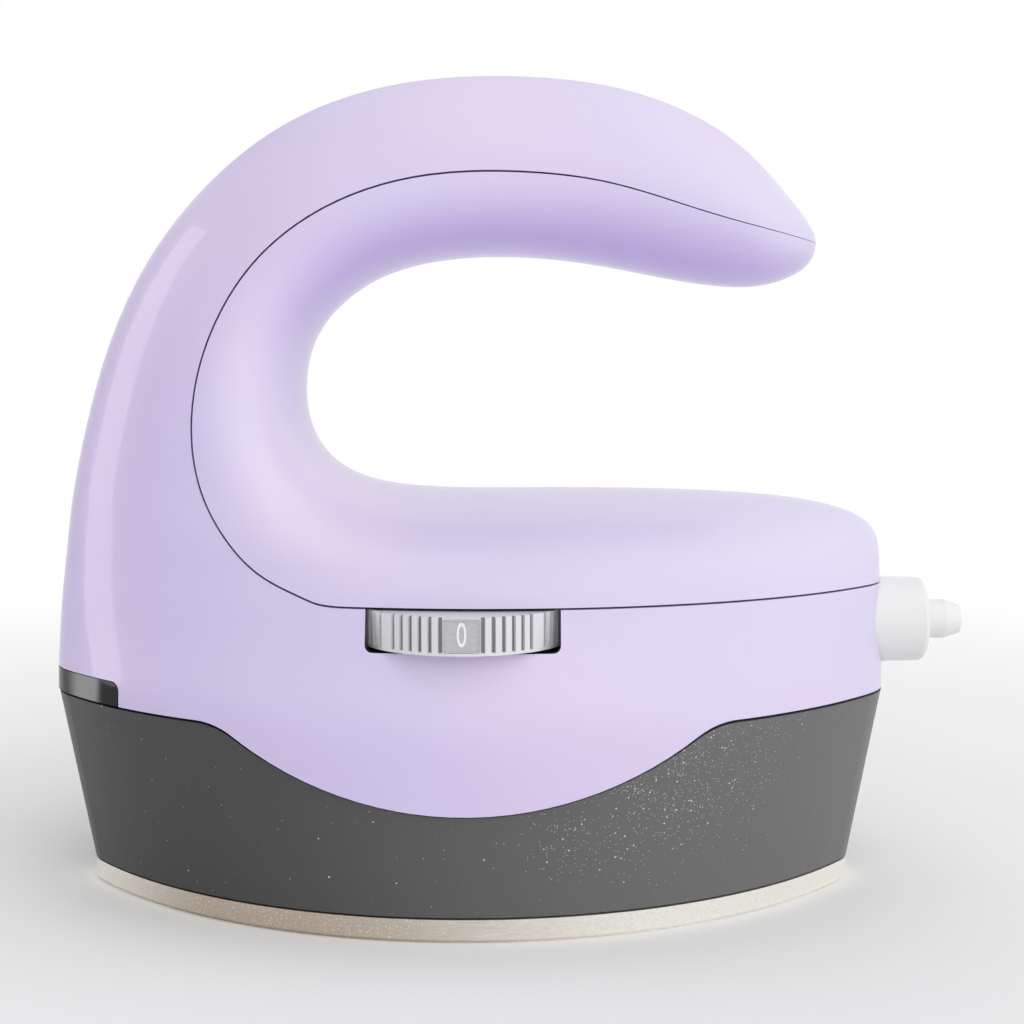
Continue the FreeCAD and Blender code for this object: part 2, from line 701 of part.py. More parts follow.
def insulation_blanket():
    """Glass-fibre mat over the element, with holes for the screw posts."""
    mat = outline_block(-PAD_INSET, POST_TOP - CLEAR - BLANKET_THICKNESS, POST_TOP - CLEAR)
    holes = [upright(POST_RADIUS + CLEAR, 0, POST_TOP, x, y) for x, y in screw_posts()]
    for x, y in housing_screw_places() + cover_screw_places():
        holes.append(upright(SCREW_HEAD_RADIUS + CLEAR, 0, POST_TOP, x, y))
    return mat.cut(Part.Compound(holes))


def heat_shield():
    """Aluminium sheet on the posts, with a turned-down edge round the mat."""
    low = POST_TOP - SHIELD_DEPTH
    sheet = outline_block(-SHIELD_INSET, POST_TOP, SHIELD_TOP)
    edge = outline_block(-SHIELD_INSET, low, POST_TOP)
    edge = edge.cut(outline_block(-SHIELD_INSET - SHIELD_THICKNESS, low, POST_TOP))
    holes = [upright(SCREW_RADIUS + SCREW_HOLE_PLAY, 0, SHIELD_TOP, x, y) for x, y in screw_posts()]
    for x, y in housing_screw_places() + cover_screw_places():
        holes.append(upright(SCREW_HEAD_RADIUS + CLEAR, 0, SHIELD_TOP, x, y))
    return fused([sheet, edge]).cut(Part.Compound(holes))


def plate_screws():
    shank = FLANGE_THICKNESS + SHIELD_THICKNESS + POST_GRIP
    return Part.Compound([screw(x, y, FLANGE_TOP, shank, True) for x, y in screw_posts()])


# ---------------------------------------------------------------- skirt
def wave_block(lift):
    """Everything above the skirt's upper edge: level at the ends, dipping in an arc on both sides."""
    level = SKIRT_TOP + lift
    radius = (WAVE_HALF_SPAN ** 2 + WAVE_DEPTH ** 2) / (2 * WAVE_DEPTH) - lift
    centre = level - WAVE_DEPTH + radius
    spread = radius + WAVE_CREST_RADIUS
    crest_height = level - WAVE_CREST_RADIUS
    crest_x = math.sqrt(spread ** 2 - (centre - crest_height) ** 2)
    touch_x = crest_x * radius / spread
    touch_z = centre - (centre - crest_height) * radius / spread
    lean = math.atan2(centre - crest_height, crest_x)
    middle = (math.pi / 2 + math.pi - lean) / 2
    top_x = crest_x + WAVE_CREST_RADIUS * math.cos(middle)
    top_z = crest_height + WAVE_CREST_RADIUS * math.sin(middle)
    far = WALL_HALF_LENGTH + CUT_MARGIN
    ceiling = HANDLE_TOP + CUT_MARGIN

    def point(x, z):
        return Vector(x, -WALL_HALF_WIDTH - CUT_MARGIN, z)

    edges = [
        Part.makeLine(point(-far, ceiling), point(-far, level)),
        Part.makeLine(point(-far, level), point(-crest_x, level)),
        Part.Arc(point(-crest_x, level), point(-top_x, top_z), point(-touch_x, touch_z)).toShape(),
        Part.Arc(point(-touch_x, touch_z), point(0, centre - radius), point(touch_x, touch_z)).toShape(),
        Part.Arc(point(touch_x, touch_z), point(top_x, top_z), point(crest_x, level)).toShape(),
        Part.makeLine(point(crest_x, level), point(far, level)),
        Part.makeLine(point(far, level), point(far, ceiling)),
        Part.makeLine(point(far, ceiling), point(-far, ceiling)),
    ]
    return Part.Face(Part.Wire(edges)).extrude(Vector(0, 2 * (WALL_HALF_WIDTH + CUT_MARGIN), 0))


def standoff_places():
    return corners(BOARD_LENGTH / 2 - STANDOFF_INSET, BOARD_WIDTH / 2 - STANDOFF_INSET)


def housing_screw_places():
    return corners(BOSS_X, BOSS_Y)


def cover_screw_places():
    return [(COVER_BOSS_FRONT_X, 0.0), (COVER_BOSS_REAR_X, 0.0)]


def lead_holes():
    """Where the element's leads rise, just outside the heat shield's edge."""
    half_length = PLATE_HALF_LENGTH - SHIELD_INSET
    half_width = PLATE_HALF_WIDTH - SHIELD_INSET
    end_radius = PLATE_END_RADIUS - SHIELD_INSET
    edge = outline_half_width(LEAD_HOLE_X, half_length, half_width, end_radius)
    y = edge + LEAD_SHIELD_GAP + LEAD_RADIUS
    return [(LEAD_HOLE_X, -y), (LEAD_HOLE_X, y)]


def base_skirt():
    """Flared plastic skirt with a waved upper edge, an inner flange and the board's standoffs."""
    wall = outline_loft(SKIRT_FOOT, SKIRT_BOTTOM, SKIRT_FLARE, SKIRT_TOP)
    bore = outline_loft(SKIRT_FOOT - SKIRT_WALL, SKIRT_BOTTOM, SKIRT_FLARE - SKIRT_WALL, SKIRT_TOP)
    slope = (SKIRT_FLARE - SKIRT_FOOT) / SKIRT_HEIGHT
    inset = SKIRT_FOOT - SKIRT_WALL / 2 + slope * (SHIELD_TOP - SKIRT_BOTTOM)
    flange = outline_block(inset, SHIELD_TOP, FLANGE_TOP)
    flange = flange.cut(outline_block(inset - FLANGE_OPENING_INSET, SHIELD_TOP, FLANGE_TOP))
    land = BOSS_RADIUS + BRIDGE_EDGE
    side = BOARD_WIDTH / 2
    inside = outline_block(inset - BRIDGE_EDGE, SHIELD_TOP, FLANGE_TOP)
    bridges = [
        block(x - land, x + land, -side, side, SHIELD_TOP, FLANGE_TOP).common(inside)
        for x, _ in cover_screw_places()
    ]
    standoffs = [upright(STANDOFF_RADIUS, FLANGE_TOP, BOARD_HEIGHT, x, y) for x, y in standoff_places()]
    skirt = fused([wall.cut(bore), flange] + bridges + standoffs)
    holes = [
        upright(SCREW_RADIUS + SCREW_HOLE_PLAY, 0, FLANGE_TOP, x, y)
        for x, y in screw_posts() + housing_screw_places() + cover_screw_places()
    ]
    low = BOARD_HEIGHT - SCREW_GRIP
    holes += [upright(SCREW_RADIUS, low, BOARD_HEIGHT, x, y) for x, y in standoff_places()]
    holes += [upright(LEAD_RADIUS + CLEAR, 0, FLANGE_TOP, x, y) for x, y in lead_holes()]
    return skirt.cut(Part.Compound(holes)).cut(wave_block(0.0))


def flange_screws(places):
    """Screws from below, through the flange into the bosses."""
    shank = FLANGE_THICKNESS + SCREW_GRIP
    return Part.Compound([screw(x, y, SHIELD_TOP, shank, False) for x, y in places])


# ---------------------------------------------------------------- housing pieces
def lens_loft(low_sizes, low, high_sizes, high):
    return Part.makeLoft([lens_wire(*low_sizes, low), lens_wire(*high_sizes, high)], True, True)


def chamber():
    """The room inside the lower body, in three steps that follow the crown of the deck."""
    inset = SKIRT_FLARE - HOUSING_WALL
    half_length = WALL_HALF_LENGTH - HOUSING_WALL
    half_width = WALL_HALF_WIDTH - HOUSING_WALL
    end_radius = WALL_END_RADIUS - HOUSING_WALL
    at_skirt = (half_length, half_width, end_radius)
    at_seam = (half_length - CHAMBER_END_TAPER, half_width - CHAMBER_TAPER, end_radius)
    at_roof = (WALL_HALF_LENGTH - ROOF_END_INSET, WALL_HALF_WIDTH - ROOF_SIDE_INSET, ROOF_END_RADIUS)
    lower = outline_loft(inset, PLATE_RIM_HEIGHT, inset, SKIRT_TOP)
    middle = lens_loft(at_skirt, SKIRT_TOP, at_seam, SEAM_HEIGHT)
    upper = lens_loft(at_seam, SEAM_HEIGHT, at_roof, DECK_HEIGHT - ROOF_THICKNESS)
    return fused([lower, middle, upper])


def window_zone(play):
    """The band of wall that the indicator window takes, at the front tip."""
    low = SKIRT_TOP + HOUSING_GAP - play
    high = SKIRT_TOP + HOUSING_GAP + WINDOW_HEIGHT + play
    rear = -WALL_HALF_LENGTH + WINDOW_REACH + play
    front = -WALL_HALF_LENGTH - HOUSING_WALL
    zone = block(front, rear, -WALL_HALF_WIDTH, WALL_HALF_WIDTH, low, high)
    top = [
        edge
        for edge in zone.Edges
        if abs(edge.BoundBox.XMin - rear) < 1e-6 and abs(edge.BoundBox.ZMin - high) < 1e-6
    ]
    return zone.makeFillet(WINDOW_CORNER_RADIUS, top)


def on_dial_axis(radius, bottom, top):
    """A round bar on the dial's axis."""
    return upright(radius, bottom, top, DIAL_CENTRE_X, DIAL_CENTRE_Y)


def dial_slot():
    """The cut in the wall through which the dial shows, open at the seam, and the dial's room behind it."""
    low = DIAL_BOTTOM - SLOT_CLEARANCE
    near = -WALL_HALF_WIDTH - CUT_MARGIN
    high = SEAM_HEIGHT + CUT_MARGIN
    front = DIAL_CENTRE_X - SLOT_HALF_WIDTH
    rear = DIAL_CENTRE_X + SLOT_HALF_WIDTH
    slot = block(front, rear, near, DIAL_CENTRE_Y, low, high)
    lower = [edge for edge in slot.Edges if edge.BoundBox.ZMax < low + 1e-6 and edge.BoundBox.YLength > 1]
    room = on_dial_axis(DIAL_RADIUS + SLOT_CLEARANCE, low, SEAM_HEIGHT)
    return slot.makeFillet(SLOT_CORNER_RADIUS, lower).fuse(room)


def outlet_round(radius, start, end):
    """A round bar on the outlet's axis."""
    return Part.makeCylinder(radius, end - start, Vector(start, 0, OUTLET_HEIGHT), REARWARD)


def collar_recess():
    return outlet_round(COLLAR_RADIUS + COLLAR_FIT, COLLAR_FACE, COLLAR_END)


def neck_bore():
    return outlet_round(NECK_RADIUS + COLLAR_FIT, COLLAR_FACE - NECK_LENGTH - CLEAR, COLLAR_FACE)


def nut_room():
    """The space that the nut and the neck take behind the wall."""
    back = COLLAR_FACE - OUTLET_BACKING
    return outlet_round(NUT_ACROSS_FLATS / math.sqrt(3) + CLEAR, back - NECK_LENGTH, back)


def screw_bores(places):
    """Blind holes up into the bosses, a little deeper than the screws reach."""
    top = FLANGE_TOP + SCREW_GRIP + CLEAR
    return [upright(SCREW_RADIUS, FLANGE_TOP, top, x, y) for x, y in places]


def outer_shell(form, rooms):
    """The outer side of the C: wall, column and the back of the arm."""
    wall = form.cut(seam_block(SEAM_GAP)).cut(rooms)
    wall = wall.common(wave_block(HOUSING_GAP))
    posts = []
    for x, y in housing_screw_places():
        top = FLANGE_TOP + BOSS_HEIGHT
        posts.append(upright(BOSS_RADIUS, FLANGE_TOP, top, x, y))
        low, high = sorted([y, math.copysign(WALL_HALF_WIDTH, y)])
        half = WEB_THICKNESS / 2
        posts.append(block(x - half, x + half, low, high, SKIRT_TOP + HOUSING_GAP, top))
    outlet = outlet_round(COLLAR_RADIUS + OUTLET_WALL, COLLAR_FACE - OUTLET_BACKING, WALL_HALF_LENGTH)
    outlet = outlet.common(form).cut(seam_block(SEAM_GAP))
    shell = wall.multiFuse([post.common(form) for post in posts] + [outlet])
    bores = screw_bores(housing_screw_places())
    bores += [neck_bore(), collar_recess()]
    return shell.cut(Part.Compound(bores)).cut(dial_slot()).cut(window_zone(WINDOW_PLAY))


def inner_cover(form, rooms):
    """The inner side of the C: the deck, the throat and the arm's underside."""
    cover = form.common(seam_block(0.0)).cut(rooms)
    roof = DECK_HEIGHT - HOUSING_WALL
    posts = [upright(BOSS_RADIUS, FLANGE_TOP, roof, x, y) for x, y in cover_screw_places()]
    cover = cover.multiFuse(posts)
    bores = screw_bores(cover_screw_places())
    bores += [collar_recess(), neck_bore(), nut_room()]
    return cover.cut(Part.Compound(bores))


def indicator_lens(form, rooms):
    return form.cut(rooms).common(window_zone(0.0))


# ---------------------------------------------------------------- indicator
def light_guide():
    """Clear crescent behind the window."""
    low = SKIRT_TOP + HOUSING_GAP + GUIDE_PLAY
    high = low + WINDOW_HEIGHT - 2 * GUIDE_PLAY
    inset = HOUSING_WALL + CLEAR
    half_width = WALL_HALF_WIDTH - inset - GUIDE_BACK
    outer = lens_wire(WALL_HALF_LENGTH - inset, half_width, WALL_END_RADIUS - inset, low)
    body = Part.Face(outer).extrude(Vector(0, 0, high - low))
    front = -WALL_HALF_LENGTH
    return body.common(block(front, front + GUIDE_DEPTH, -GUIDE_HALF_WIDTH, GUIDE_HALF_WIDTH, low, high))


def indicator_board():
    rear = INDICATOR_BOARD_X + INDICATOR_BOARD_THICKNESS
    top = SKIRT_TOP + INDICATOR_BOARD_RISE
    return block(INDICATOR_BOARD_X, rear, -GUIDE_HALF_WIDTH, GUIDE_HALF_WIDTH, FLANGE_TOP, top)


def indicator_leds():
    height = SKIRT_TOP + HOUSING_GAP + WINDOW_HEIGHT / 2
    shoulder = INDICATOR_BOARD_X - LED_LENGTH + LED_RADIUS
    leds = []
    for side in (-1, 1):
        y = side * LED_HALF_SPACING
        foot = Vector(INDICATOR_BOARD_X, y, height)
        stem = Part.makeCylinder(LED_RADIUS, LED_LENGTH - LED_RADIUS, foot, -REARWARD)
        nose = Part.makeCone(LED_RADIUS, LED_RADIUS / 2, LED_RADIUS, Vector(shoulder, y, height), -REARWARD)
        leds.append(fused([stem, nose]))
    return Part.Compound(leds)


# ---------------------------------------------------------------- control board
def control_board():
    board = rounded_plate(BOARD_LENGTH, BOARD_WIDTH, BOARD_CORNER_RADIUS, BOARD_HEIGHT, BOARD_THICKNESS)
    holes = [
        upright(SCREW_RADIUS + SCREW_HOLE_PLAY, BOARD_HEIGHT, BOARD_TOP, x, y) for x, y in standoff_places()
    ]
    holes.append(upright(BOSS_RADIUS + 2 * CLEAR, BOARD_HEIGHT, BOARD_TOP, COVER_BOSS_FRONT_X, 0))
    return board.cut(Part.Compound(holes))


def board_screws():
    shank = BOARD_THICKNESS + STANDOFF_GRIP
    return Part.Compound([screw(x, y, BOARD_TOP, shank, True) for x, y in standoff_places()])


def on_board(length, width, height, across, along):
    """A block on the board, placed by its middle as shares of the board's length and width."""
    x = across * BOARD_LENGTH
    y = along * BOARD_WIDTH
    top = BOARD_TOP + height
    return block(x - length / 2, x + length / 2, y - width / 2, y + width / 2, BOARD_TOP, top)


def rotary_switch():
    """The four-position switch under the dial, bored for its spindle."""
    top = DIAL_BOTTOM - CLEAR
    front = DIAL_CENTRE_X - SWITCH_LENGTH / 2
    near = DIAL_CENTRE_Y - SWITCH_FRONT
    body = block(front, front + SWITCH_LENGTH, near, DIAL_CENTRE_Y + SWITCH_BACK, BOARD_TOP, top)
    return body.cut(on_dial_axis(SPINDLE_RADIUS + SPINDLE_PLAY, BOARD_TOP + SWITCH_FLOOR, top))


def triac():
    return on_board(TRIAC_LENGTH, TRIAC_THICKNESS, TRIAC_HEIGHT, 0.354, 0.094)


def film_capacitor():
    return on_board(FILM_THICKNESS, FILM_LENGTH, FILM_HEIGHT, -0.375, 0.0)


def smoothing_capacitor():
    can = upright(CAN_RADIUS, BOARD_TOP, BOARD_TOP + CAN_HEIGHT, 0.067 * BOARD_LENGTH, 0.333 * BOARD_WIDTH)
    rim = [edge for edge in can.Edges if edge.Closed and edge.BoundBox.ZMin > BOARD_TOP + CAN_BREAK]
    return can.makeChamfer(CAN_BREAK, rim)


def control_chip():
    return on_board(CHIP_LENGTH, CHIP_WIDTH, CHIP_HEIGHT, 0.008, 0.033)


def terminal_place():
    """Where the terminal block's rear face stands, and its middle in Y."""
    return BOARD_LENGTH / 2 - TERMINAL_EDGE, -TERMINAL_OFFSET


def terminal_ways():
    """The middles of the two ways in Y, live first."""
    middle = terminal_place()[1]
    return (middle - TERMINAL_PITCH / 2, middle + TERMINAL_PITCH / 2)


def terminal_block():
    """Two-way screw terminal for the mains leads."""
    rear, middle = terminal_place()
    near = middle - TERMINAL_WIDTH / 2
    far = middle + TERMINAL_WIDTH / 2
    body = block(rear - TERMINAL_LENGTH, rear, near, far, BOARD_TOP, BOARD_TOP + TERMINAL_HEIGHT)
    height = BOARD_TOP + TERMINAL_WAY_HEIGHT
    ways = []
    for y in terminal_ways():
        mouth = Vector(rear, y, height)
        ways.append(Part.makeCylinder(TERMINAL_WAY_RADIUS, TERMINAL_WAY_DEPTH, mouth, -REARWARD))
    return body.cut(Part.Compound(ways))


# ---------------------------------------------------------------- dial
def dial_outline():
    """The wheel's section, as (angle, radius): flat plaques, plain lands between them and grooved ribs."""
    spacing = 2 * math.pi / PLAQUE_COUNT
    first = math.asin(PLAQUE_WIDTH / 2 / DIAL_RADIUS)
    last = spacing / 2 - math.asin(LAND_WIDTH / 2 / DIAL_RADIUS)
    pitch = (last - first) / (RIBS_BESIDE_PLAQUE + GROOVE_SHARE)
    root = DIAL_RADIUS - GROOVE_DEPTH
    points = []
    for place in range(PLAQUE_COUNT):
        for index in range(RIBS_BESIDE_PLAQUE + 1):
            near = first + index * pitch
            far = near + GROOVE_SHARE * pitch
            slope = GROOVE_SLOPE * pitch
            groove = [(near, DIAL_RADIUS), (near + slope, root), (far - slope, root), (far, DIAL_RADIUS)]
            for side in (-1, 1):
                points += [(place * spacing + side * angle, radius) for angle, radius in groove]
    return sorted(points)


def dial_wheel():
    """Wheel with upright grooves that run out at its top, above a plain rim."""
    low = DIAL_BOTTOM + DIAL_RIM
    ring = [
        Vector(DIAL_CENTRE_X + radius * math.sin(angle), DIAL_CENTRE_Y - radius * math.cos(angle), low)
        for angle, radius in dial_outline()
    ]
    band = Part.Face(Part.makePolygon(ring + [ring[0]])).extrude(Vector(0, 0, DIAL_HEIGHT - DIAL_RIM))
    wheel = band.fuse(on_dial_axis(DIAL_RADIUS, DIAL_BOTTOM, low))
    return wheel.cut(on_dial_axis(SPINDLE_RADIUS, DIAL_BOTTOM, DIAL_TOP))


def dial_spindle():
    foot = BOARD_TOP + SWITCH_FLOOR + CLEAR
    return on_dial_axis(SPINDLE_RADIUS, foot, DIAL_TOP)


# ---------------------------------------------------------------- cord outlet
def revolved_x(profile):
    """A turned piece about the outlet's axis, from (x, radius) points."""
    points = [Vector(x, 0, OUTLET_HEIGHT + radius) for x, radius in profile]
    face = Part.Face(Part.makePolygon(points + [points[0]]))
    return face.revolve(Vector(0, 0, OUTLET_HEIGHT), REARWARD, 360)


def swivel_collar():
    """Collar that stands out of the rear wall, with a threaded neck inside it."""
    seat = COLLAR_FACE
    end = COLLAR_END
    neck_end = seat - NECK_LENGTH
    lip = end - COLLAR_LIP
    collar = revolved_x([
        (neck_end, NECK_BORE_RADIUS),
        (neck_end, NECK_RADIUS),
        (seat, NECK_RADIUS),
        (seat, COLLAR_RADIUS),
        (end, COLLAR_TIP_RADIUS),
        (end, NOSE_RADIUS + NOSE_PLAY),
        (lip, NOSE_RADIUS + NOSE_PLAY),
        (lip, NECK_BORE_RADIUS),
    ])
    rim = [
        edge
        for edge in collar.Edges
        if edge.Closed and abs(edge.BoundBox.XMin - end) < 1e-6 and edge.BoundBox.YLength > 2 * NECK_RADIUS
    ]
    return collar.makeFillet(COLLAR_EDGE, rim)


def cord_nose():
    """Nose of the strain relief, turning in the collar behind its lip."""
    end = COLLAR_END
    tip = end + NOSE_LENGTH
    head_front = end - COLLAR_LIP - NOSE_PLAY
    head_back = head_front - NOSE_HEAD_LENGTH
    return revolved_x([
        (head_back - NOSE_TAIL, CORD_BORE_RADIUS),
        (head_back - NOSE_TAIL, NOSE_RADIUS),
        (head_back, NOSE_RADIUS),
        (head_back, NECK_BORE_RADIUS - NOSE_PLAY),
        (head_front, NECK_BORE_RADIUS - NOSE_PLAY),
        (head_front, NOSE_RADIUS),
        (tip - NOSE_TIP_LENGTH, NOSE_RADIUS),
        (tip, NOSE_RADIUS - NOSE_TIP_DROP),
        (tip, CORD_BORE_RADIUS),
    ])


def nose_bush():
    """Ring pressed into the neck behind the nose's head."""
    end = COLLAR_END
    front = end - COLLAR_LIP - 2 * NOSE_PLAY - NOSE_HEAD_LENGTH
    back = front - BUSH_LENGTH
    return revolved_x([
        (back, NOSE_RADIUS + NOSE_PLAY),
        (back, NECK_BORE_RADIUS),
        (front, NECK_BORE_RADIUS),
        (front, NOSE_RADIUS + NOSE_PLAY),
    ])


def collar_nut():
    seat = COLLAR_FACE - OUTLET_BACKING - COLLAR_FIT
    corner = NUT_ACROSS_FLATS / math.sqrt(3)
    ring = []
    for side in range(6):
        angle = math.radians(60 * side)
        ring.append(Vector(seat, corner * math.cos(angle), OUTLET_HEIGHT + corner * math.sin(angle)))
    nut = Part.Face(Part.makePolygon(ring + [ring[0]])).extrude(Vector(-NUT_THICKNESS, 0, 0))
    return nut.cut(outlet_round(NECK_RADIUS, seat - NUT_THICKNESS, seat))


# ---------------------------------------------------------------- leads
def lead(points):
    """An insulated wire with mitred bends through the points."""
    spine = Part.makePolygon([Vector(*point) for point in points])
    along = Vector(*points[1]) - Vector(*points[0])
    section = Part.Wire(Part.makeCircle(LEAD_RADIUS, Vector(*points[0]), along))
    return spine.makePipeShell([section], True, False, 1)


def mains_leads():
    """Live and neutral, from the strain relief round the rear boss to the terminal block."""
    rear = terminal_place()[0]
    live_y, neutral_y = terminal_ways()
    low = BOARD_TOP + TERMINAL_WAY_HEIGHT
    start = COLLAR_END - COLLAR_LIP - NOSE_PLAY - NOSE_HEAD_LENGTH - NOSE_TAIL - CLEAR
    mouth = COLLAR_FACE - NECK_LENGTH
    beside = COVER_BOSS_REAR_X
    spread = LEAD_RADIUS + CLEAR
    live = [
        (start, 0.0, OUTLET_HEIGHT + spread),
        (mouth - 0.5, -2.2, OUTLET_HEIGHT + spread),
        (beside + 0.5, -BOSS_RADIUS - 2.9, OUTLET_HEIGHT - 0.7),
        (beside - 5.5, -BOSS_RADIUS - 3.5, low + 1.8),
        (rear + 1.5, live_y, low),
        (rear - 3.0, live_y, low),
    ]
    neutral = [
        (start, 0.0, OUTLET_HEIGHT - spread),
        (mouth - 0.5, -2.2, OUTLET_HEIGHT - spread),
        (beside + 0.5, -BOSS_RADIUS - 1.1, OUTLET_HEIGHT - 3.1),
        (beside - 5.5, -BOSS_RADIUS - 1.4, low + 0.8),
        (rear + 1.5, neutral_y, low),
        (rear - 3.0, neutral_y, low),
    ]
    return Part.Compound([lead(live), lead(neutral)])


def element_leads():
    """Leads from the element's pins up through the flange to the board's underside."""
    height = element_path_height()
    start = ELEMENT_END_X + PIN_LENGTH + CLEAR
    board_x = BOARD_LENGTH / 2 - 3.0
    wires = []
    for (x, y), (_, pin_y) in zip(lead_holes(), element_ends()):
        away = math.copysign(0.6, pin_y)
        wires.append(lead([
            (start, pin_y, height),
            (x - 0.8, pin_y - away, height + 1.0),
            (x, y, SHIELD_TOP - 1.0),
            (x, y, FLANGE_TOP + 2.0),
            (BOSS_X + 2.0, y, BOARD_HEIGHT - 4.0),
            (board_x, y, BOARD_HEIGHT - 3.0),
            (board_x, y, BOARD_HEIGHT),
        ]))
    return Part.Compound(wires)


def build():
    form_maker = HousingForm()
    form = form_maker.solid()
    rooms = Part.Compound([chamber(), form_maker.channel()])
    parts = {
        "heat_plate": heat_plate(),
        "heating_element": heating_element(),
        "terminal_insulators": terminal_insulators(),
        "terminal_pins": terminal_pins(),
        "element_straps": element_straps(),
        "strap_screws": strap_screws(),
        "thermal_fuse": thermal_fuse(),
        "thermistor": thermistor(),
        "insulation_blanket": insulation_blanket(),
        "heat_shield": heat_shield(),
        "plate_screws": plate_screws(),
        "base_skirt": base_skirt(),
        "housing_screws": flange_screws(housing_screw_places()),
        "cover_screws": flange_screws(cover_screw_places()),
        "outer_shell": outer_shell(form, rooms),
        "inner_cover": inner_cover(form, rooms),
        "indicator_lens": indicator_lens(form, rooms),
        "light_guide": light_guide(),
        "indicator_board": indicator_board(),
        "indicator_leds": indicator_leds(),
        "control_board": control_board(),
        "board_screws": board_screws(),
        "rotary_switch": rotary_switch(),
        "triac": triac(),
        "film_capacitor": film_capacitor(),
        "smoothing_capacitor": smoothing_capacitor(),
        "control_chip": control_chip(),
        "terminal_block": terminal_block(),
        "dial_wheel": dial_wheel(),
        "dial_spindle": dial_spindle(),
        "swivel_collar": swivel_collar(),
        "cord_nose": cord_nose(),
        "nose_bush": nose_bush(),
        "collar_nut": collar_nut(),
        "mains_leads": mains_leads(),
        "element_leads": element_leads(),
    }
    os.makedirs("parts", exist_ok=True)
    for name, shape in parts.items():
        shape.exportStep("parts/" + name + ".step")
    return parts


PARTS = build()
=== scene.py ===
"""Studio picture of a mini handheld heat press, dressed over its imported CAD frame.

The frame gives every hard piece its shape and place. This script adds the finishes, the dial's
plaques and numerals, the studio and the camera. Lengths are in metres unless a name says mm.
"""

from __future__ import annotations

import logging
import math
from dataclasses import dataclass, field
from enum import Enum
from typing import Mapping, Sequence, Union

import bmesh
import bpy
from mathutils import Matrix, Quaternion, Vector

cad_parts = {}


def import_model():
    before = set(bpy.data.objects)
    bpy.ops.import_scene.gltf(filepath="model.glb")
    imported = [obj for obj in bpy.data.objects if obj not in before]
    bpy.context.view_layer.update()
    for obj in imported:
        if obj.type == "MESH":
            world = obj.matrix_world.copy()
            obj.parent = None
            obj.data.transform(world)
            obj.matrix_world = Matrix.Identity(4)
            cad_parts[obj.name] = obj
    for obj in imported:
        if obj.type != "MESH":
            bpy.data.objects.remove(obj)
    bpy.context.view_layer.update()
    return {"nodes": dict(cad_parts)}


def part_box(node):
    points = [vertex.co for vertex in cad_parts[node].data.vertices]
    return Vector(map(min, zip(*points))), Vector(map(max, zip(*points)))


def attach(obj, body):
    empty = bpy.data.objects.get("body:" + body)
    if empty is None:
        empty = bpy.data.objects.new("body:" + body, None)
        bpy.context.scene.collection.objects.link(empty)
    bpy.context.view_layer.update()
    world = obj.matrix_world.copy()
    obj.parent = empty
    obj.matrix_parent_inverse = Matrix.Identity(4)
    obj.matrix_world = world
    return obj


LOG = logging.getLogger("heat_press")
MM = 0.001

Rgb = tuple[float, float, float]
Rgba = tuple[float, float, float, float]
Span = tuple[float, float]
Value = Union["Socket", float, Sequence[float]]

WHITE_LIGHT = (1.0, 1.0, 1.0, 1.0)
PLASTIC_IOR = 1.46
ACRYLIC_IOR = 1.49
FINE_DETAIL = 3.0

# A face begins to count as turned to a side at the first cosine, and fully does at the second.
TURNED_SPAN = (0.3, 0.6)

# The dial's slot and wheel, in millimetres.
DIAL_AXIS_MM = (-0.25, -21.2)
SLOT_HALF_MM = 11.9
SLOT_FLOOR_MM = 36.45
SLOT_ROOF_MM = 42.05
SLOT_BACK_MM = -20.0
DIAL_RIM_TOP_MM = 37.15
GROOVE_ROOT_MM = 12.55
GROOVE_EDGE_MM = 12.7


def srgb(red: int, green: int, blue: int) -> Rgb:
    """Turn an 8-bit display colour into the linear colour that shaders use.

    Args:
        red: Red level, 0 to 255.
        green: Green level, 0 to 255.
        blue: Blue level, 0 to 255.

    Returns:
        The linear red, green and blue.
    """

    def linear(level: int) -> float:
        """Undo the standard display curve, which is straight near black."""
        share = level / 255
        return share / 12.92 if share <= 0.04045 else ((share + 0.055) / 1.055) ** 2.4

    return (linear(red), linear(green), linear(blue))


def opaque(color: Rgb) -> Rgba:
    """Return a colour with alpha 1."""
    return (*color, 1.0)


def scaled(color: Rgb, factor: float) -> Rgba:
    """Return a colour made darker or lighter by a factor, with alpha 1."""
    return opaque(tuple(min(level * factor, 1.0) for level in color))


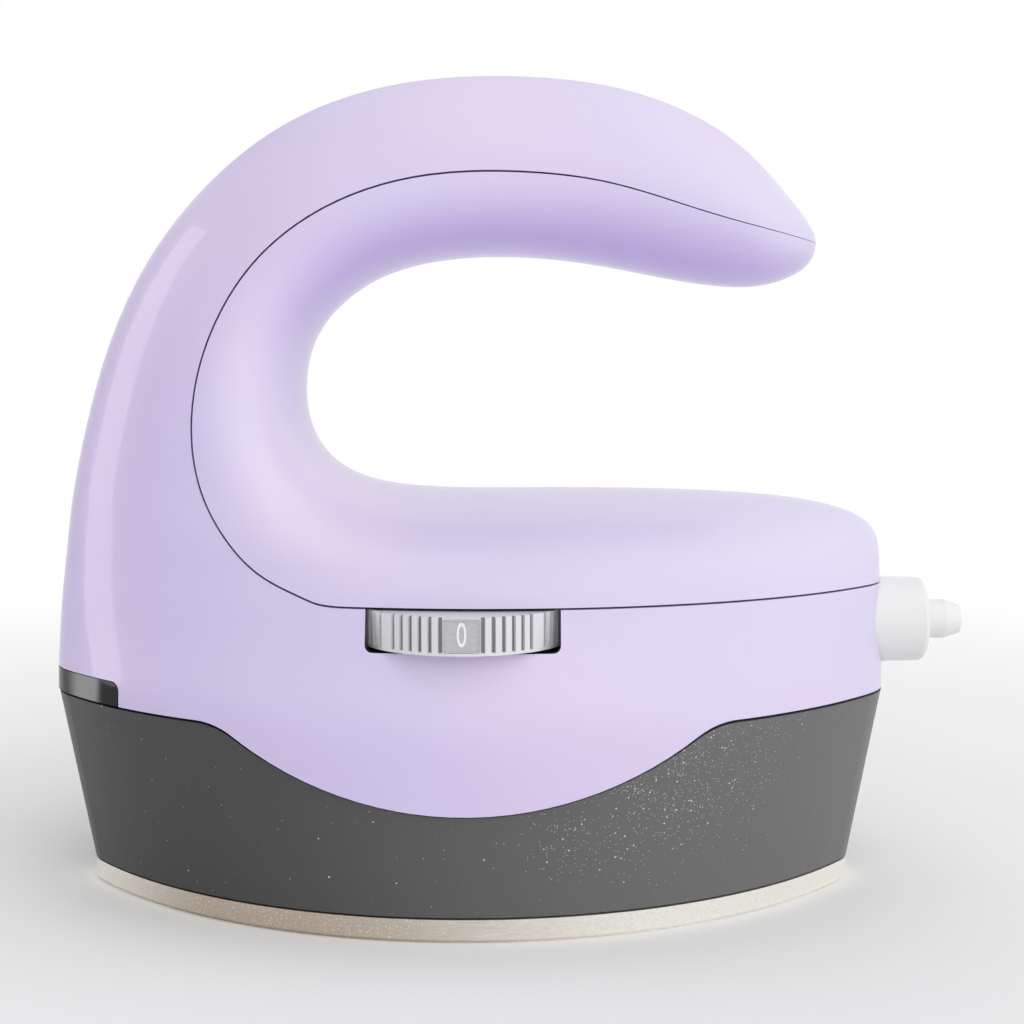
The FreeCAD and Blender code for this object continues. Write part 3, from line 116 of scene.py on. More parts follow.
# ------------------------------------------------------------------ shader graphs
class Socket:
    """A node's output, so that shader arithmetic reads as plain arithmetic."""

    def __init__(self, graph: Graph, pin: bpy.types.NodeSocket) -> None:
        """Wrap an output.

        Args:
            graph: The graph that the output belongs to.
            pin: The node socket.
        """
        self.graph = graph
        self.pin = pin

    def _combine(self, operation: str, other: Value, swapped: bool = False) -> Socket:
        """Join this output with another value by one arithmetic node.

        Args:
            operation: The node's operation, such as "ADD".
            other: The other operand.
            swapped: Whether the other operand comes first.

        Returns:
            The result.
        """
        pair = (other, self) if swapped else (self, other)
        kinds = {term.pin.type for term in pair if isinstance(term, Socket)}
        if "RGBA" in kinds:
            return self.graph.mix(1.0, pair[0], pair[1], operation)
        kind = "ShaderNodeVectorMath" if "VECTOR" in kinds else "ShaderNodeMath"
        return self.graph.node(kind, {"operation": operation}, {0: pair[0], 1: pair[1]})

    def __add__(self, other: Value) -> Socket:
        """Add a value to this one."""
        return self._combine("ADD", other)

    def __radd__(self, other: Value) -> Socket:
        """Add this one to a value."""
        return self._combine("ADD", other, swapped=True)

    def __sub__(self, other: Value) -> Socket:
        """Subtract a value from this one."""
        return self._combine("SUBTRACT", other)

    def __rsub__(self, other: Value) -> Socket:
        """Subtract this one from a value."""
        return self._combine("SUBTRACT", other, swapped=True)

    def __mul__(self, other: Value) -> Socket:
        """Multiply this one by a value."""
        return self._combine("MULTIPLY", other)

    def __rmul__(self, other: Value) -> Socket:
        """Multiply a value by this one."""
        return self._combine("MULTIPLY", other, swapped=True)

    def about(self, middle: float, spread: float) -> Socket:
        """Map 0 to 1 onto a range about a middle value.

        Args:
            middle: What 0.5 becomes.
            spread: The range's full width.

        Returns:
            The mapped value.
        """
        return self * spread + (middle - spread / 2)

    def clamp(self, low: float, high: float, smooth: bool = False) -> Socket:
        """Map the range low to high onto 0 to 1, and cut off what is outside it.

        Args:
            low: The value that becomes 0.
            high: The value that becomes 1.
            smooth: Whether the ends are eased.

        Returns:
            The mapped value.
        """
        settings = {"clamp": True, "interpolation_type": "SMOOTHSTEP" if smooth else "LINEAR"}
        inputs = {"Value": self, "From Min": low, "From Max": high}
        return self.graph.node("ShaderNodeMapRange", settings, inputs)


class Graph:
    """The node tree of a material or a world, built through one method."""

    MIX_SHARE, MIX_FIRST, MIX_SECOND = 0, 6, 7
    MIX_RESULT = 2

    def __init__(self, owner: Union[bpy.types.Material, bpy.types.World]) -> None:
        """Start an empty tree.

        Args:
            owner: The material or world that gets the tree.
        """
        owner.use_nodes = True
        self.owner = owner
        self.tree = owner.node_tree
        self.tree.nodes.clear()

    @classmethod
    def of_material(cls, name: str) -> Graph:
        """Start the tree of a new material with this name."""
        return cls(bpy.data.materials.new(name))

    def close(self, shader: Socket) -> None:
        """Join a shader to the tree's output.

        Args:
            shader: The shader.
        """
        is_world = isinstance(self.owner, bpy.types.World)
        kind = "ShaderNodeOutputWorld" if is_world else "ShaderNodeOutputMaterial"
        self.node(kind, None, {"Surface": shader}, None)

    def node(
        self,
        kind: str,
        settings: Mapping[str, object] | None = None,
        inputs: Mapping[Union[str, int], Value] | None = None,
        output: Union[str, int, None] = 0,
    ) -> Socket | None:
        """Add a node.

        Args:
            kind: The node's type name.
            settings: Properties set before the inputs, because they decide which inputs exist.
            inputs: A value or a link for each named or numbered input.
            output: The name or number of the output to return, if the node has one.

        Returns:
            The chosen output.
        """
        made = self.tree.nodes.new(kind)
        for key, setting in (settings or {}).items():
            setattr(made, key, setting)
        for key, value in (inputs or {}).items():
            if isinstance(value, Socket):
                self.tree.links.new(value.pin, made.inputs[key])
            else:
                made.inputs[key].default_value = value
        return None if output is None else Socket(self, made.outputs[output])

    def position(self) -> Socket:
        """Return the shaded point in the object's own frame, in metres."""
        return self.node("ShaderNodeTexCoord", output="Object")

    def along(self, axis: str) -> Socket:
        """Return the shaded point's "X", "Y" or "Z" in the object's own frame, in millimetres."""
        parts = {"Vector": self.position()}
        return self.node("ShaderNodeSeparateXYZ", None, parts, axis) * (1 / MM)

    def toward(self, place: Socket, direction: Rgb) -> Socket:
        """Return a vector's length along a direction.

        Args:
            place: The vector.
            direction: The direction.

        Returns:
            For a unit vector, 1 along the direction and -1 against it.
        """
        pair = {0: place, 1: Vector(direction).normalized()}
        return self.node("ShaderNodeVectorMath", {"operation": "DOT_PRODUCT"}, pair, "Value")

    def facing(self, direction: Rgb) -> Socket:
        """Return how far the surface faces a direction of the object's own frame, 1 to -1."""
        return self.toward(self.node("ShaderNodeTexCoord", output="Normal"), direction)

    def seen(self) -> Socket:
        """Tell the rays that show a surface from those that only carry its light.

        Returns:
            1 for rays of the camera, of mirroring and of glass, and 0 for the others.
        """
        kinds = ("Is Camera Ray", "Is Glossy Ray", "Is Transmission Ray")
        camera, glossy, through = (self.node("ShaderNodeLightPath", output=kind) for kind in kinds)
        return (camera + glossy + through).clamp(0.0, 1.0)

    def noise(self, per_mm: float, detail: float = 2.0, stretch: Rgb = (1.0, 1.0, 1.0)) -> Socket:
        """Return smooth noise from 0 to 1.

        Args:
            per_mm: Cells in a millimetre.
            detail: Octaves of finer noise.
            stretch: Scale along each axis.

        Returns:
            The noise.
        """
        pair = {0: self.position(), 1: stretch}
        place = self.node("ShaderNodeVectorMath", {"operation": "MULTIPLY"}, pair)
        inputs = {"Vector": place, "Scale": per_mm / MM, "Detail": detail, "Roughness": 0.5}
        return self.node("ShaderNodeTexNoise", None, inputs)

    def mix(self, share: Value, first: Value, second: Value, blend: str = "MIX") -> Socket:
        """Blend two colours.

        Args:
            share: How much of the second colour, 0 to 1.
            first: The first colour.
            second: The second colour.
            blend: How they are blended, such as "ADD".

        Returns:
            The blend.
        """
        settings = {"data_type": "RGBA", "blend_type": blend}
        inputs = {self.MIX_SHARE: share, self.MIX_FIRST: first, self.MIX_SECOND: second}
        return self.node("ShaderNodeMix", settings, inputs, self.MIX_RESULT)

    def tones(self, pattern: Socket, span: Span, color: Rgb, drift: float) -> Socket:
        """Return a colour that a pattern makes a little darker and lighter.

        Args:
            pattern: The pattern.
            span: The pattern's values that give the darkest and the lightest tone.
            color: The middle tone.
            drift: How far the tones go from the middle, as a share of it.

        Returns:
            The colour.
        """
        return self.mix(pattern.clamp(*span), scaled(color, 1 - drift), scaled(color, 1 + drift))

    def bump(self, height: Socket, depth_mm: float) -> Socket:
        """Return the normal of a surface raised by a height.

        Args:
            height: Height from 0 to 1.
            depth_mm: What a height of 1 stands for.

        Returns:
            The normal.
        """
        inputs = {"Strength": 1.0, "Distance": depth_mm * MM, "Height": height}
        return self.node("ShaderNodeBump", None, inputs, "Normal")

    def finish(self, inputs: Mapping[str, Value]) -> bpy.types.Material:
        """Close the graph with one principled shader.

        Args:
            inputs: Values and links for the shader.

        Returns:
            The material.
        """
        self.close(self.node("ShaderNodeBsdfPrincipled", None, inputs))
        return self.owner


# ------------------------------------------------------------------ finishes
@dataclass(frozen=True)
class CutShade:
    """A cut through a wall, whose own faces get a dark colour: painted shade inside the cut.

    The cut is open to -Y. It lies between two lengths and two heights, and reaches back to back_mm.
    """

    color: Rgb
    length_mm: Span
    height_mm: Span
    back_mm: float
    blend_mm: float = 0.02

    def mask(self, graph: Graph) -> Socket:
        """Return where the cut's own faces are, which get the painted shade.

        Args:
            graph: The material's graph.

        Returns:
            1 on the cut's own faces and 0 elsewhere.
        """
        # Painted shade: the cut's own faces get a dark colour.
        inside = 1.0 - graph.along("Y").clamp(self.back_mm - self.blend_mm, self.back_mm)
        for axis, (first, last) in (("X", self.length_mm), ("Z", self.height_mm)):
            place = graph.along(axis)
            inside = inside * place.clamp(first - self.blend_mm, first)
            inside = inside * (1.0 - place.clamp(last, last + self.blend_mm))
        return inside * (1.0 - graph.facing((0.0, -1.0, 0.0)).clamp(*TURNED_SPAN))


@dataclass(frozen=True)
class Gloss:
    """Glossy moulded plastic: a clear skin over a colour that varies faintly.

    A pearl plastic also has a blush, which comes and goes in wide clouds. It also gets painted shade:
    a deeper tone on faces that turn away from the lit side. The clear skin may thin out, and the
    surface turn matt, between two heights. The faces of a cut through the plastic may get painted
    shade.
    """

    name: str
    color: Rgb
    blush: Rgb | None = None
    # Painted shade: a deeper tone on faces that turn away from the lit side.
    painted_shade: Rgb | None = None
    roughness: float = 0.3
    drift: float = 0.03
    texture_mm: float = 0.004
    coat: float = 0.35
    coat_roughness: float = 0.04
    coat_fade_mm: Span | None = None
    matt_rise: float = 0.3
    specular: float = 0.3
    slot_shade: CutShade | None = None
    cloud_per_mm: float = 0.02
    cloud_span: Span = (0.3, 0.7)
    grain_per_mm: float = 0.9
    grain_spread: float = 0.04
    blush_per_mm: float = 0.035
    blush_span: Span = (0.42, 0.66)
    lit_side: Rgb = (0.6, -0.3, 0.75)
    painted_shade_span: Span = (-0.8, 0.9)

    def material(self) -> bpy.types.Material:
        """Build the material.

        Returns:
            The material.
        """
        graph = Graph.of_material(self.name)
        grain = graph.noise(self.grain_per_mm)
        rough = grain.about(self.roughness, self.grain_spread)
        coat: Value = self.coat
        if self.coat_fade_mm is not None:
            matt = graph.along("Z").clamp(*self.coat_fade_mm, smooth=True)
            coat = (1.0 - matt) * self.coat
            rough = rough + matt * self.matt_rise
        return graph.finish(
            {
                "Base Color": self._shade(graph),
                "Roughness": rough,
                "Normal": graph.bump(grain, self.texture_mm),
                "Coat Weight": coat,
                "Coat Roughness": self.coat_roughness,
                "Specular IOR Level": self.specular,
                "IOR": PLASTIC_IOR,
            }
        )

    def _shade(self, graph: Graph) -> Socket:
        """Return the colour under the clear skin.

        Args:
            graph: The material's graph.

        Returns:
            The colour.
        """
        shade = graph.tones(graph.noise(self.cloud_per_mm, 1.0), self.cloud_span, self.color, self.drift)
        if self.blush is not None:
            wide = graph.noise(self.blush_per_mm, 0.0).clamp(*self.blush_span, smooth=True)
            shade = graph.mix(wide, shade, opaque(self.blush))
        # Painted shade: a deeper tone on faces that turn away from the lit side.
        if self.painted_shade is not None:
            toward = graph.facing(self.lit_side).clamp(*self.painted_shade_span)
            shade = graph.mix(toward, opaque(self.painted_shade), shade)
        # Painted shade: the faces of the cut for the dial's slot get a dark colour.
        if self.slot_shade is not None:
            shade = graph.mix(self.slot_shade.mask(graph), shade, opaque(self.slot_shade.color))
        return shade


@dataclass(frozen=True)
class Satin:
    """Satin moulded plastic with a fine spark texture."""

    name: str
    color: Rgb
    roughness: float = 0.4
    drift: float = 0.06
    texture_mm: float = 0.02
    cloud_per_mm: float = 0.03
    cloud_span: Span = (0.3, 0.7)
    grain_per_mm: float = 5.0
    grain_spread: float = 0.12

    def material(self) -> bpy.types.Material:
        """Build the material.

        Returns:
            The material.
        """
        graph = Graph.of_material(self.name)
        cloud = graph.noise(self.cloud_per_mm)
        grain = graph.noise(self.grain_per_mm, FINE_DETAIL)
        return graph.finish(
            {
                "Base Color": graph.tones(cloud, self.cloud_span, self.color, self.drift),
                "Roughness": grain.about(self.roughness, self.grain_spread),
                "Normal": graph.bump(grain, self.texture_mm),
                "IOR": PLASTIC_IOR,
            }
        )


@dataclass(frozen=True)
class Mica:
    """Dark satin plastic with fine mica flecks, which gather in a slanting drift behind the middle.

    The colour grows paler from the front to the rear: painted light, as if the rear end were lit more.
    """

    name: str
    shaded_front_color: Rgb
    lit_rear_color: Rgb
    fleck_color: Rgb
    roughness: float = 0.4
    texture_mm: float = 0.015
    grain_per_mm: float = 5.0
    grain_spread: float = 0.12
    length_mm: Span = (-52.0, 36.0)
    fleck_gloss: float = 0.1
    dust_per_mm: float = 5.5
    chip_per_mm: float = 2.6
    chip_share: float = 0.3
    share_span: Span = (0.003, 0.3)
    share_edge: float = 0.001
    speck_radius: Span = (0.22, 0.32)
    drift_slant: float = 0.5
    drift_start_mm: Span = (-6.0, 12.0)
    drift_end_mm: Span = (18.0, 34.0)
    drift_foot_mm: Span = (6.0, 18.0)
    patch_per_mm: float = 0.07
    patch_span: Span = (0.3, 0.6)

    def material(self) -> bpy.types.Material:
        """Build the material.

        Returns:
            The material.
        """
        graph = Graph.of_material(self.name)
        grain = graph.noise(self.grain_per_mm, FINE_DETAIL)
        # Painted light: paler towards the rear end, darker at the front.
        rearward = graph.along("X").clamp(*self.length_mm, smooth=True)
        shade = graph.mix(rearward, opaque(self.shaded_front_color), opaque(self.lit_rear_color))
        fleck = self._flecks(graph)
        return graph.finish(
            {
                "Base Color": graph.mix(fleck, shade, opaque(self.fleck_color)),
                "Metallic": fleck,
                "Roughness": grain.about(self.roughness, self.grain_spread) - fleck * self.fleck_gloss,
                "Normal": graph.bump(grain, self.texture_mm),
                "IOR": PLASTIC_IOR,
            }
        )

    def _flecks(self, graph: Graph) -> Socket:
        """Scatter fine dust and a few larger chips, most of them in the drift.

        Args:
            graph: The material's graph.

        Returns:
            1 on a fleck and 0 elsewhere.
        """
        slant = graph.along("X") - graph.along("Z") * self.drift_slant
        started = slant.clamp(*self.drift_start_mm, smooth=True)
        ended = slant.clamp(*self.drift_end_mm, smooth=True)
        raised = graph.along("Z").clamp(*self.drift_foot_mm, smooth=True)
        patch = graph.noise(self.patch_per_mm).clamp(*self.patch_span)
        least, most = self.share_span
        share = started * (1.0 - ended) * raised * patch * (most - least) + least
        dust = self._scatter(graph, self.dust_per_mm, share)
        chips = self._scatter(graph, self.chip_per_mm, share * self.chip_share)
        return (dust + chips).clamp(0.0, 1.0)

    def _scatter(self, graph: Graph, per_mm: float, share: Socket) -> Socket:
        """Place round specks in some of the cells of a jittered lattice.

        Args:
            graph: The material's graph.
            per_mm: Cells in a millimetre.
            share: How many of the cells hold a speck.

        Returns:
            1 on a speck and 0 elsewhere.
        """
        cells = {"Vector": graph.position(), "Scale": per_mm / MM, "Randomness": 1.0}
        distance = graph.node("ShaderNodeTexVoronoi", {"feature": "F1"}, cells, "Distance")
        color = graph.node("ShaderNodeTexVoronoi", {"feature": "F1"}, cells, "Color")
        lot = graph.node("ShaderNodeSeparateColor", None, {"Color": color})
        chosen = (lot + share).clamp(1.0 - self.share_edge, 1.0)
        return chosen * (1.0 - distance.clamp(*self.speck_radius))


@dataclass(frozen=True)
class GrooveShade:
    """Painted shade in the grooves of a wheel with an upright axis."""

    color: Rgb
    axis_mm: Span
    depth_mm: Span
    bottom_mm: float
    blend_mm: float = 0.05

    def mask(self, graph: Graph) -> Socket:
        """Return how far into a groove the surface lies, for the painted shade.

        Args:
            graph: The material's graph.

        Returns:
            1 at a groove's root and 0 on the ribs, on the plain rim and on the wheel's ends.
        """
        across = graph.along("X") - self.axis_mm[0]
        along = graph.along("Y") - self.axis_mm[1]
        squared = across * across + along * along
        root, edge = self.depth_mm
        painted_shade = 1.0 - squared.clamp(root**2, edge**2)
        upright = 1.0 - graph.facing((0.0, 0.0, 1.0)).clamp(*TURNED_SPAN)
        return painted_shade * upright * graph.along("Z").clamp(self.bottom_mm, self.bottom_mm + self.blend_mm)


@dataclass(frozen=True)
class Metal:
    """Bare or anodised metal, brushed along one axis, or metallised plastic.

    A long piece may have a lighter colour towards both of its ends, as painted light, and a
    wheel painted shade in its grooves.
    """

    name: str
    color: Rgb
    lit_end_color: Rgb | None = None
    roughness: float = 0.32
    brush: Rgb = (0.06, 1.0, 1.0)
    streak: float = 0.09
    texture_mm: float = 0.004
    sparkle: float = 0.0
    metallic: float = 1.0
    grooves: GrooveShade | None = None
    lines_per_mm: float = 6.0
    lines_span: Span = (0.35, 0.65)
    lines_spread: float = 0.08
    wear_per_mm: float = 0.08
    wear_spread: float = 0.12
    front_end_mm: Span = (-54.0, -32.0)
    rear_end_mm: Span = (-20.0, 26.0)
    spark_color: Rgb = (1.0, 0.97, 0.92)
    spark_per_mm: float = 4.0
    spark_span: Span = (0.62, 0.7)

    def material(self) -> bpy.types.Material:
        """Build the material.

        Returns:
            The material.
        """
        graph = Graph.of_material(self.name)
        lines = graph.noise(self.lines_per_mm, FINE_DETAIL, self.brush)
        wear = graph.noise(self.wear_per_mm, FINE_DETAIL)
        rough = wear * self.wear_spread + lines * self.lines_spread
        rough = rough + (self.roughness - (self.wear_spread + self.lines_spread) / 2)
        return graph.finish(
            {
                "Base Color": self._shade(graph, lines),
                "Metallic": self.metallic,
                "Roughness": rough,
                "Normal": graph.bump(lines, self.texture_mm),
            }
        )

    def _shade(self, graph: Graph, lines: Socket) -> Socket:
        """Return the metal's colour, darker and lighter along the brushed lines.

        Args:
            graph: The material's graph.
            lines: The lines' noise.

        Returns:
            The colour.
        """
        shade = graph.tones(lines, self.lines_span, self.color, self.streak)
        # Painted light: both ends get a lighter colour.
        if self.lit_end_color is not None:
            length = graph.along("X")
            rearward = length.clamp(*self.rear_end_mm, smooth=True)
            frontward = 1.0 - length.clamp(*self.front_end_mm, smooth=True)
            ends = graph.tones(lines, self.lines_span, self.lit_end_color, self.streak)
            shade = graph.mix(rearward + frontward, shade, ends)
        if self.sparkle > 0:
            grit = graph.noise(self.spark_per_mm, 1.0).clamp(*self.spark_span)
            shade = graph.mix(grit * self.sparkle, shade, opaque(self.spark_color))
        # Painted shade: the grooves get a duller, darker colour.
        if self.grooves is not None:
            shade = graph.mix(self.grooves.mask(graph), shade, opaque(self.grooves.color))
        return shade


@dataclass(frozen=True)
class Weave:
    """A woven mat of two crossing threads, with painted shade in the valleys between them."""

    name: str
    color: Rgb
    roughness: float = 0.9
    pitch_mm: float = 0.9
    depth_mm: float = 0.15
    wobble: float = 0.4
    valley_shade: float = 0.7
    valley_span: Span = (0.2, 0.7)

    def material(self) -> bpy.types.Material:
        """Build the material.

        Returns:
            The material.
        """
        graph = Graph.of_material(self.name)
        height = self._threads(graph, "X") * 0.5 + self._threads(graph, "Y") * 0.5
        # Painted shade: the valleys between the threads are darker.
        valley_shade = scaled(self.color, self.valley_shade)
        return graph.finish(
            {
                "Base Color": graph.mix(height.clamp(*self.valley_span), valley_shade, opaque(self.color)),
                "Roughness": self.roughness,
                "Normal": graph.bump(height, self.depth_mm),
            }
        )

    def _threads(self, graph: Graph, direction: str) -> Socket:
        """Return the rounded ridges of one set of threads.

        Args:
            graph: The material's graph.
            direction: The axis across the threads, "X" or "Y".

        Returns:
            1 along the tops of the threads and 0 between them.
        """
        settings = {"wave_type": "BANDS", "bands_direction": direction}
        scale = 1 / (self.pitch_mm * MM)
        inputs = {"Vector": graph.position(), "Scale": scale, "Distortion": self.wobble}
        return graph.node("ShaderNodeTexWave", settings, inputs, "Fac")


@dataclass(frozen=True)
class Smoked:
    """Translucent plastic, clear enough to show what lies just behind it."""

    name: str
    color: Rgb
    clearness: float
    roughness: float = 0.08
    haze_per_mm: float = 0.2
    haze_spread: float = 0.04
    haze_dark: float = 0.7

    def material(self) -> bpy.types.Material:
        """Build the material.

        Returns:
            The material.
        """
        graph = Graph.of_material(self.name)
        haze = graph.noise(self.haze_per_mm)
        return graph.finish(
            {
                "Base Color": graph.mix(haze, scaled(self.color, self.haze_dark), opaque(self.color)),
                "Roughness": haze.about(self.roughness, self.haze_spread),
                "Transmission Weight": self.clearness,
                "IOR": ACRYLIC_IOR,
            }
        )


@dataclass(frozen=True)
class Window:
    """Smoked window with a light guide at its back, and a paler middle stretch: a painted reflection."""

    name: str
    dark: Rgb
    pale: Rgb
    roughness: float = 0.08
    specular: float = 0.15
    front_edge_mm: Span = (-54.5, -51.5)
    rear_edge_mm: Span = (-49.1, -47.6)
    haze_per_mm: float = 0.2
    haze_spread: float = 0.04
    waver_per_mm: float = 0.3
    waver_mm: float = 0.5

    def material(self) -> bpy.types.Material:
        """Build the material.

        Returns:
            The material.
        """
        graph = Graph.of_material(self.name)
        length = graph.along("X") + graph.noise(self.waver_per_mm) * self.waver_mm
        # Painted reflection: the window's middle stretch is paler.
        lit = length.clamp(*self.front_edge_mm, smooth=True)
        lit = lit * (1.0 - length.clamp(*self.rear_edge_mm, smooth=True))
        return graph.finish(
            {
                "Base Color": graph.mix(lit, opaque(self.dark), opaque(self.pale)),
                "Roughness": graph.noise(self.haze_per_mm).about(self.roughness, self.haze_spread),
                "Specular IOR Level": self.specular,
                "IOR": ACRYLIC_IOR,
            }
        )


class Shade(Enum):
    """The finishes, one for each material of the object."""

    BODY = Gloss(
        "body_lavender",
        srgb(212, 206, 230),
        blush=srgb(217, 206, 228),
        # Painted shade: a deeper tone on faces that turn away from the lit side.
        painted_shade=srgb(204, 187, 240),
        coat_fade_mm=(92.0, 102.0),
        # Painted shade: the dial slot's own faces get a dark colour.
        slot_shade=CutShade(
            srgb(34, 31, 40),
            length_mm=(DIAL_AXIS_MM[0] - SLOT_HALF_MM, DIAL_AXIS_MM[0] + SLOT_HALF_MM),
            height_mm=(SLOT_FLOOR_MM, SLOT_ROOF_MM),
            back_mm=SLOT_BACK_MM,
        ),
    )
    WHITE = Gloss("outlet_white", srgb(230, 230, 230), roughness=0.25)
    # Painted light: the skirt grows paler from the front to the rear.
    SKIRT = Mica("skirt_grey", srgb(54, 54, 55), srgb(102, 102, 102), srgb(244, 238, 220))
    DIAL = Metal(
        "dial_silver",
        srgb(220, 220, 223),
        streak=0.02,
        texture_mm=0.001,
        metallic=0.2,
        # Painted shade in the grooves of the dial.
        grooves=GrooveShade(
            srgb(134, 134, 138),
            axis_mm=DIAL_AXIS_MM,
            depth_mm=(GROOVE_ROOT_MM, GROOVE_EDGE_MM),
            bottom_mm=DIAL_RIM_TOP_MM,
        ),
    )
    PLAQUE = Metal(
        "plaque_silver", srgb(190, 190, 192), roughness=0.4, brush=(1.0, 1.0, 1.0), metallic=0.5
    )
    NUMERAL = Satin("numeral_white", srgb(236, 236, 238), texture_mm=0.003)
    BLACK = Satin("moulded_black", srgb(34, 34, 36), roughness=0.45)
    SOLE = Metal(
        "sole_champagne",
        srgb(196, 182, 167),
        # Painted light: a lighter colour towards both ends of the sole.
        srgb(255, 248, 239),
        roughness=0.34,
        sparkle=0.5,
        metallic=0.7,
    )
    STEEL = Metal("zinc_steel", srgb(184, 186, 190))
    ELEMENT = Metal("element_sheath", srgb(96, 90, 86), roughness=0.5)
    SHEET = Metal("rolled_sheet", srgb(214, 216, 220), roughness=0.28)
    CERAMIC = Gloss("cream_ceramic", srgb(238, 232, 218), roughness=0.35)
    MAT = Weave("glass_mat", srgb(232, 226, 208))
    BOARD = Gloss("solder_mask", srgb(20, 92, 54), drift=0.15)
    YELLOW = Gloss("film_case", srgb(222, 176, 42))
    CAN = Satin("can_sleeve", srgb(54, 70, 110), roughness=0.35)
    GREEN = Satin("terminal_green", srgb(38, 128, 70))
    LED = Smoked("led_red", srgb(230, 70, 50), clearness=0.6)
    # Painted reflection: a paler stretch across the window's middle.
    WINDOW = Window("window_smoke", srgb(22, 22, 24), srgb(150, 150, 151))
    GUIDE = Smoked("guide_clear", srgb(238, 240, 244), clearness=0.9)
    LEAD = Gloss("lead_white", srgb(226, 224, 218), roughness=0.4)

    def material(self) -> bpy.types.Material:
        """Return the finish's material, built once.

        Returns:
            The material.
        """
        found = bpy.data.materials.get(self.value.name)
        return found or self.value.material()


NODE_SHADES: dict[str, Shade] = {
    "heat_plate": Shade.SOLE,
    "heating_element": Shade.ELEMENT,
    "terminal_insulators": Shade.CERAMIC,
    "terminal_pins": Shade.STEEL,
    "element_straps": Shade.STEEL,
    "strap_screws": Shade.STEEL,
    "thermal_fuse": Shade.CAN,
    "thermistor": Shade.CERAMIC,
    "insulation_blanket": Shade.MAT,
    "heat_shield": Shade.SHEET,
    "plate_screws": Shade.STEEL,
    "base_skirt": Shade.SKIRT,
    "housing_screws": Shade.STEEL,
    "cover_screws": Shade.STEEL,
    "outer_shell": Shade.BODY,
    "inner_cover": Shade.BODY,
    "indicator_lens": Shade.WINDOW,
    "light_guide": Shade.GUIDE,
    "indicator_board": Shade.BOARD,
    "indicator_leds": Shade.LED,
    "control_board": Shade.BOARD,
    "board_screws": Shade.STEEL,
    "rotary_switch": Shade.BLACK,
    "triac": Shade.BLACK,
    "film_capacitor": Shade.YELLOW,
    "smoothing_capacitor": Shade.CAN,
    "control_chip": Shade.BLACK,
    "terminal_block": Shade.GREEN,
    "dial_wheel": Shade.DIAL,
    "dial_spindle": Shade.STEEL,
    "swivel_collar": Shade.WHITE,
    "cord_nose": Shade.WHITE,
    "nose_bush": Shade.BLACK,
    "collar_nut": Shade.BLACK,
    "mains_leads": Shade.LEAD,
    "element_leads": Shade.LEAD,
}


# ------------------------------------------------------------------ sub-assemblies
@dataclass
class Frame:
    """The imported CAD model: every hard piece, with its finish and its shading."""

    nodes: dict[str, bpy.types.Object]
    crease_deg: float = 32.0

    def build(self) -> list[bpy.types.Object]:
        """Give every node its material and smooth shading up to its creases.

        Returns:
            The nodes' pieces.
        """
        crease = self._crease_group()
        for name, piece in self.nodes.items():
            piece.data.materials.clear()
            piece.data.materials.append(NODE_SHADES[name].material())
            piece.modifiers.new("crease", "NODES").node_group = crease
        return list(self.nodes.values())

    def _crease_group(self) -> bpy.types.NodeTree:
        """Build the modifier that shades faces smooth, but keeps edges sharper than the crease angle.

        Returns:
            The modifier's node group.
        """
        group = bpy.data.node_groups.new("crease", "GeometryNodeTree")
        group.interface.new_socket("Geometry", in_out="INPUT", socket_type="NodeSocketGeometry")
        group.interface.new_socket("Geometry", in_out="OUTPUT", socket_type="NodeSocketGeometry")
        start = group.nodes.new("NodeGroupInput")
        end = group.nodes.new("NodeGroupOutput")
        smooth = group.nodes.new("GeometryNodeSetShadeSmooth")
        sharp = group.nodes.new("GeometryNodeSetShadeSmooth")
        sharp.domain = "EDGE"
        sharp.inputs["Shade Smooth"].default_value = False
        angle = group.nodes.new("GeometryNodeInputMeshEdgeAngle")
        over = group.nodes.new("FunctionNodeCompare")
        over.operation = "GREATER_THAN"
        over.inputs["B"].default_value = math.radians(self.crease_deg)
        group.links.new(angle.outputs["Unsigned Angle"], over.inputs["A"])
        group.links.new(over.outputs["Result"], sharp.inputs["Selection"])
        group.links.new(start.outputs[0], smooth.inputs["Geometry"])
        group.links.new(smooth.outputs["Geometry"], sharp.inputs["Geometry"])
        group.links.new(sharp.outputs["Geometry"], end.inputs[0])
        return group


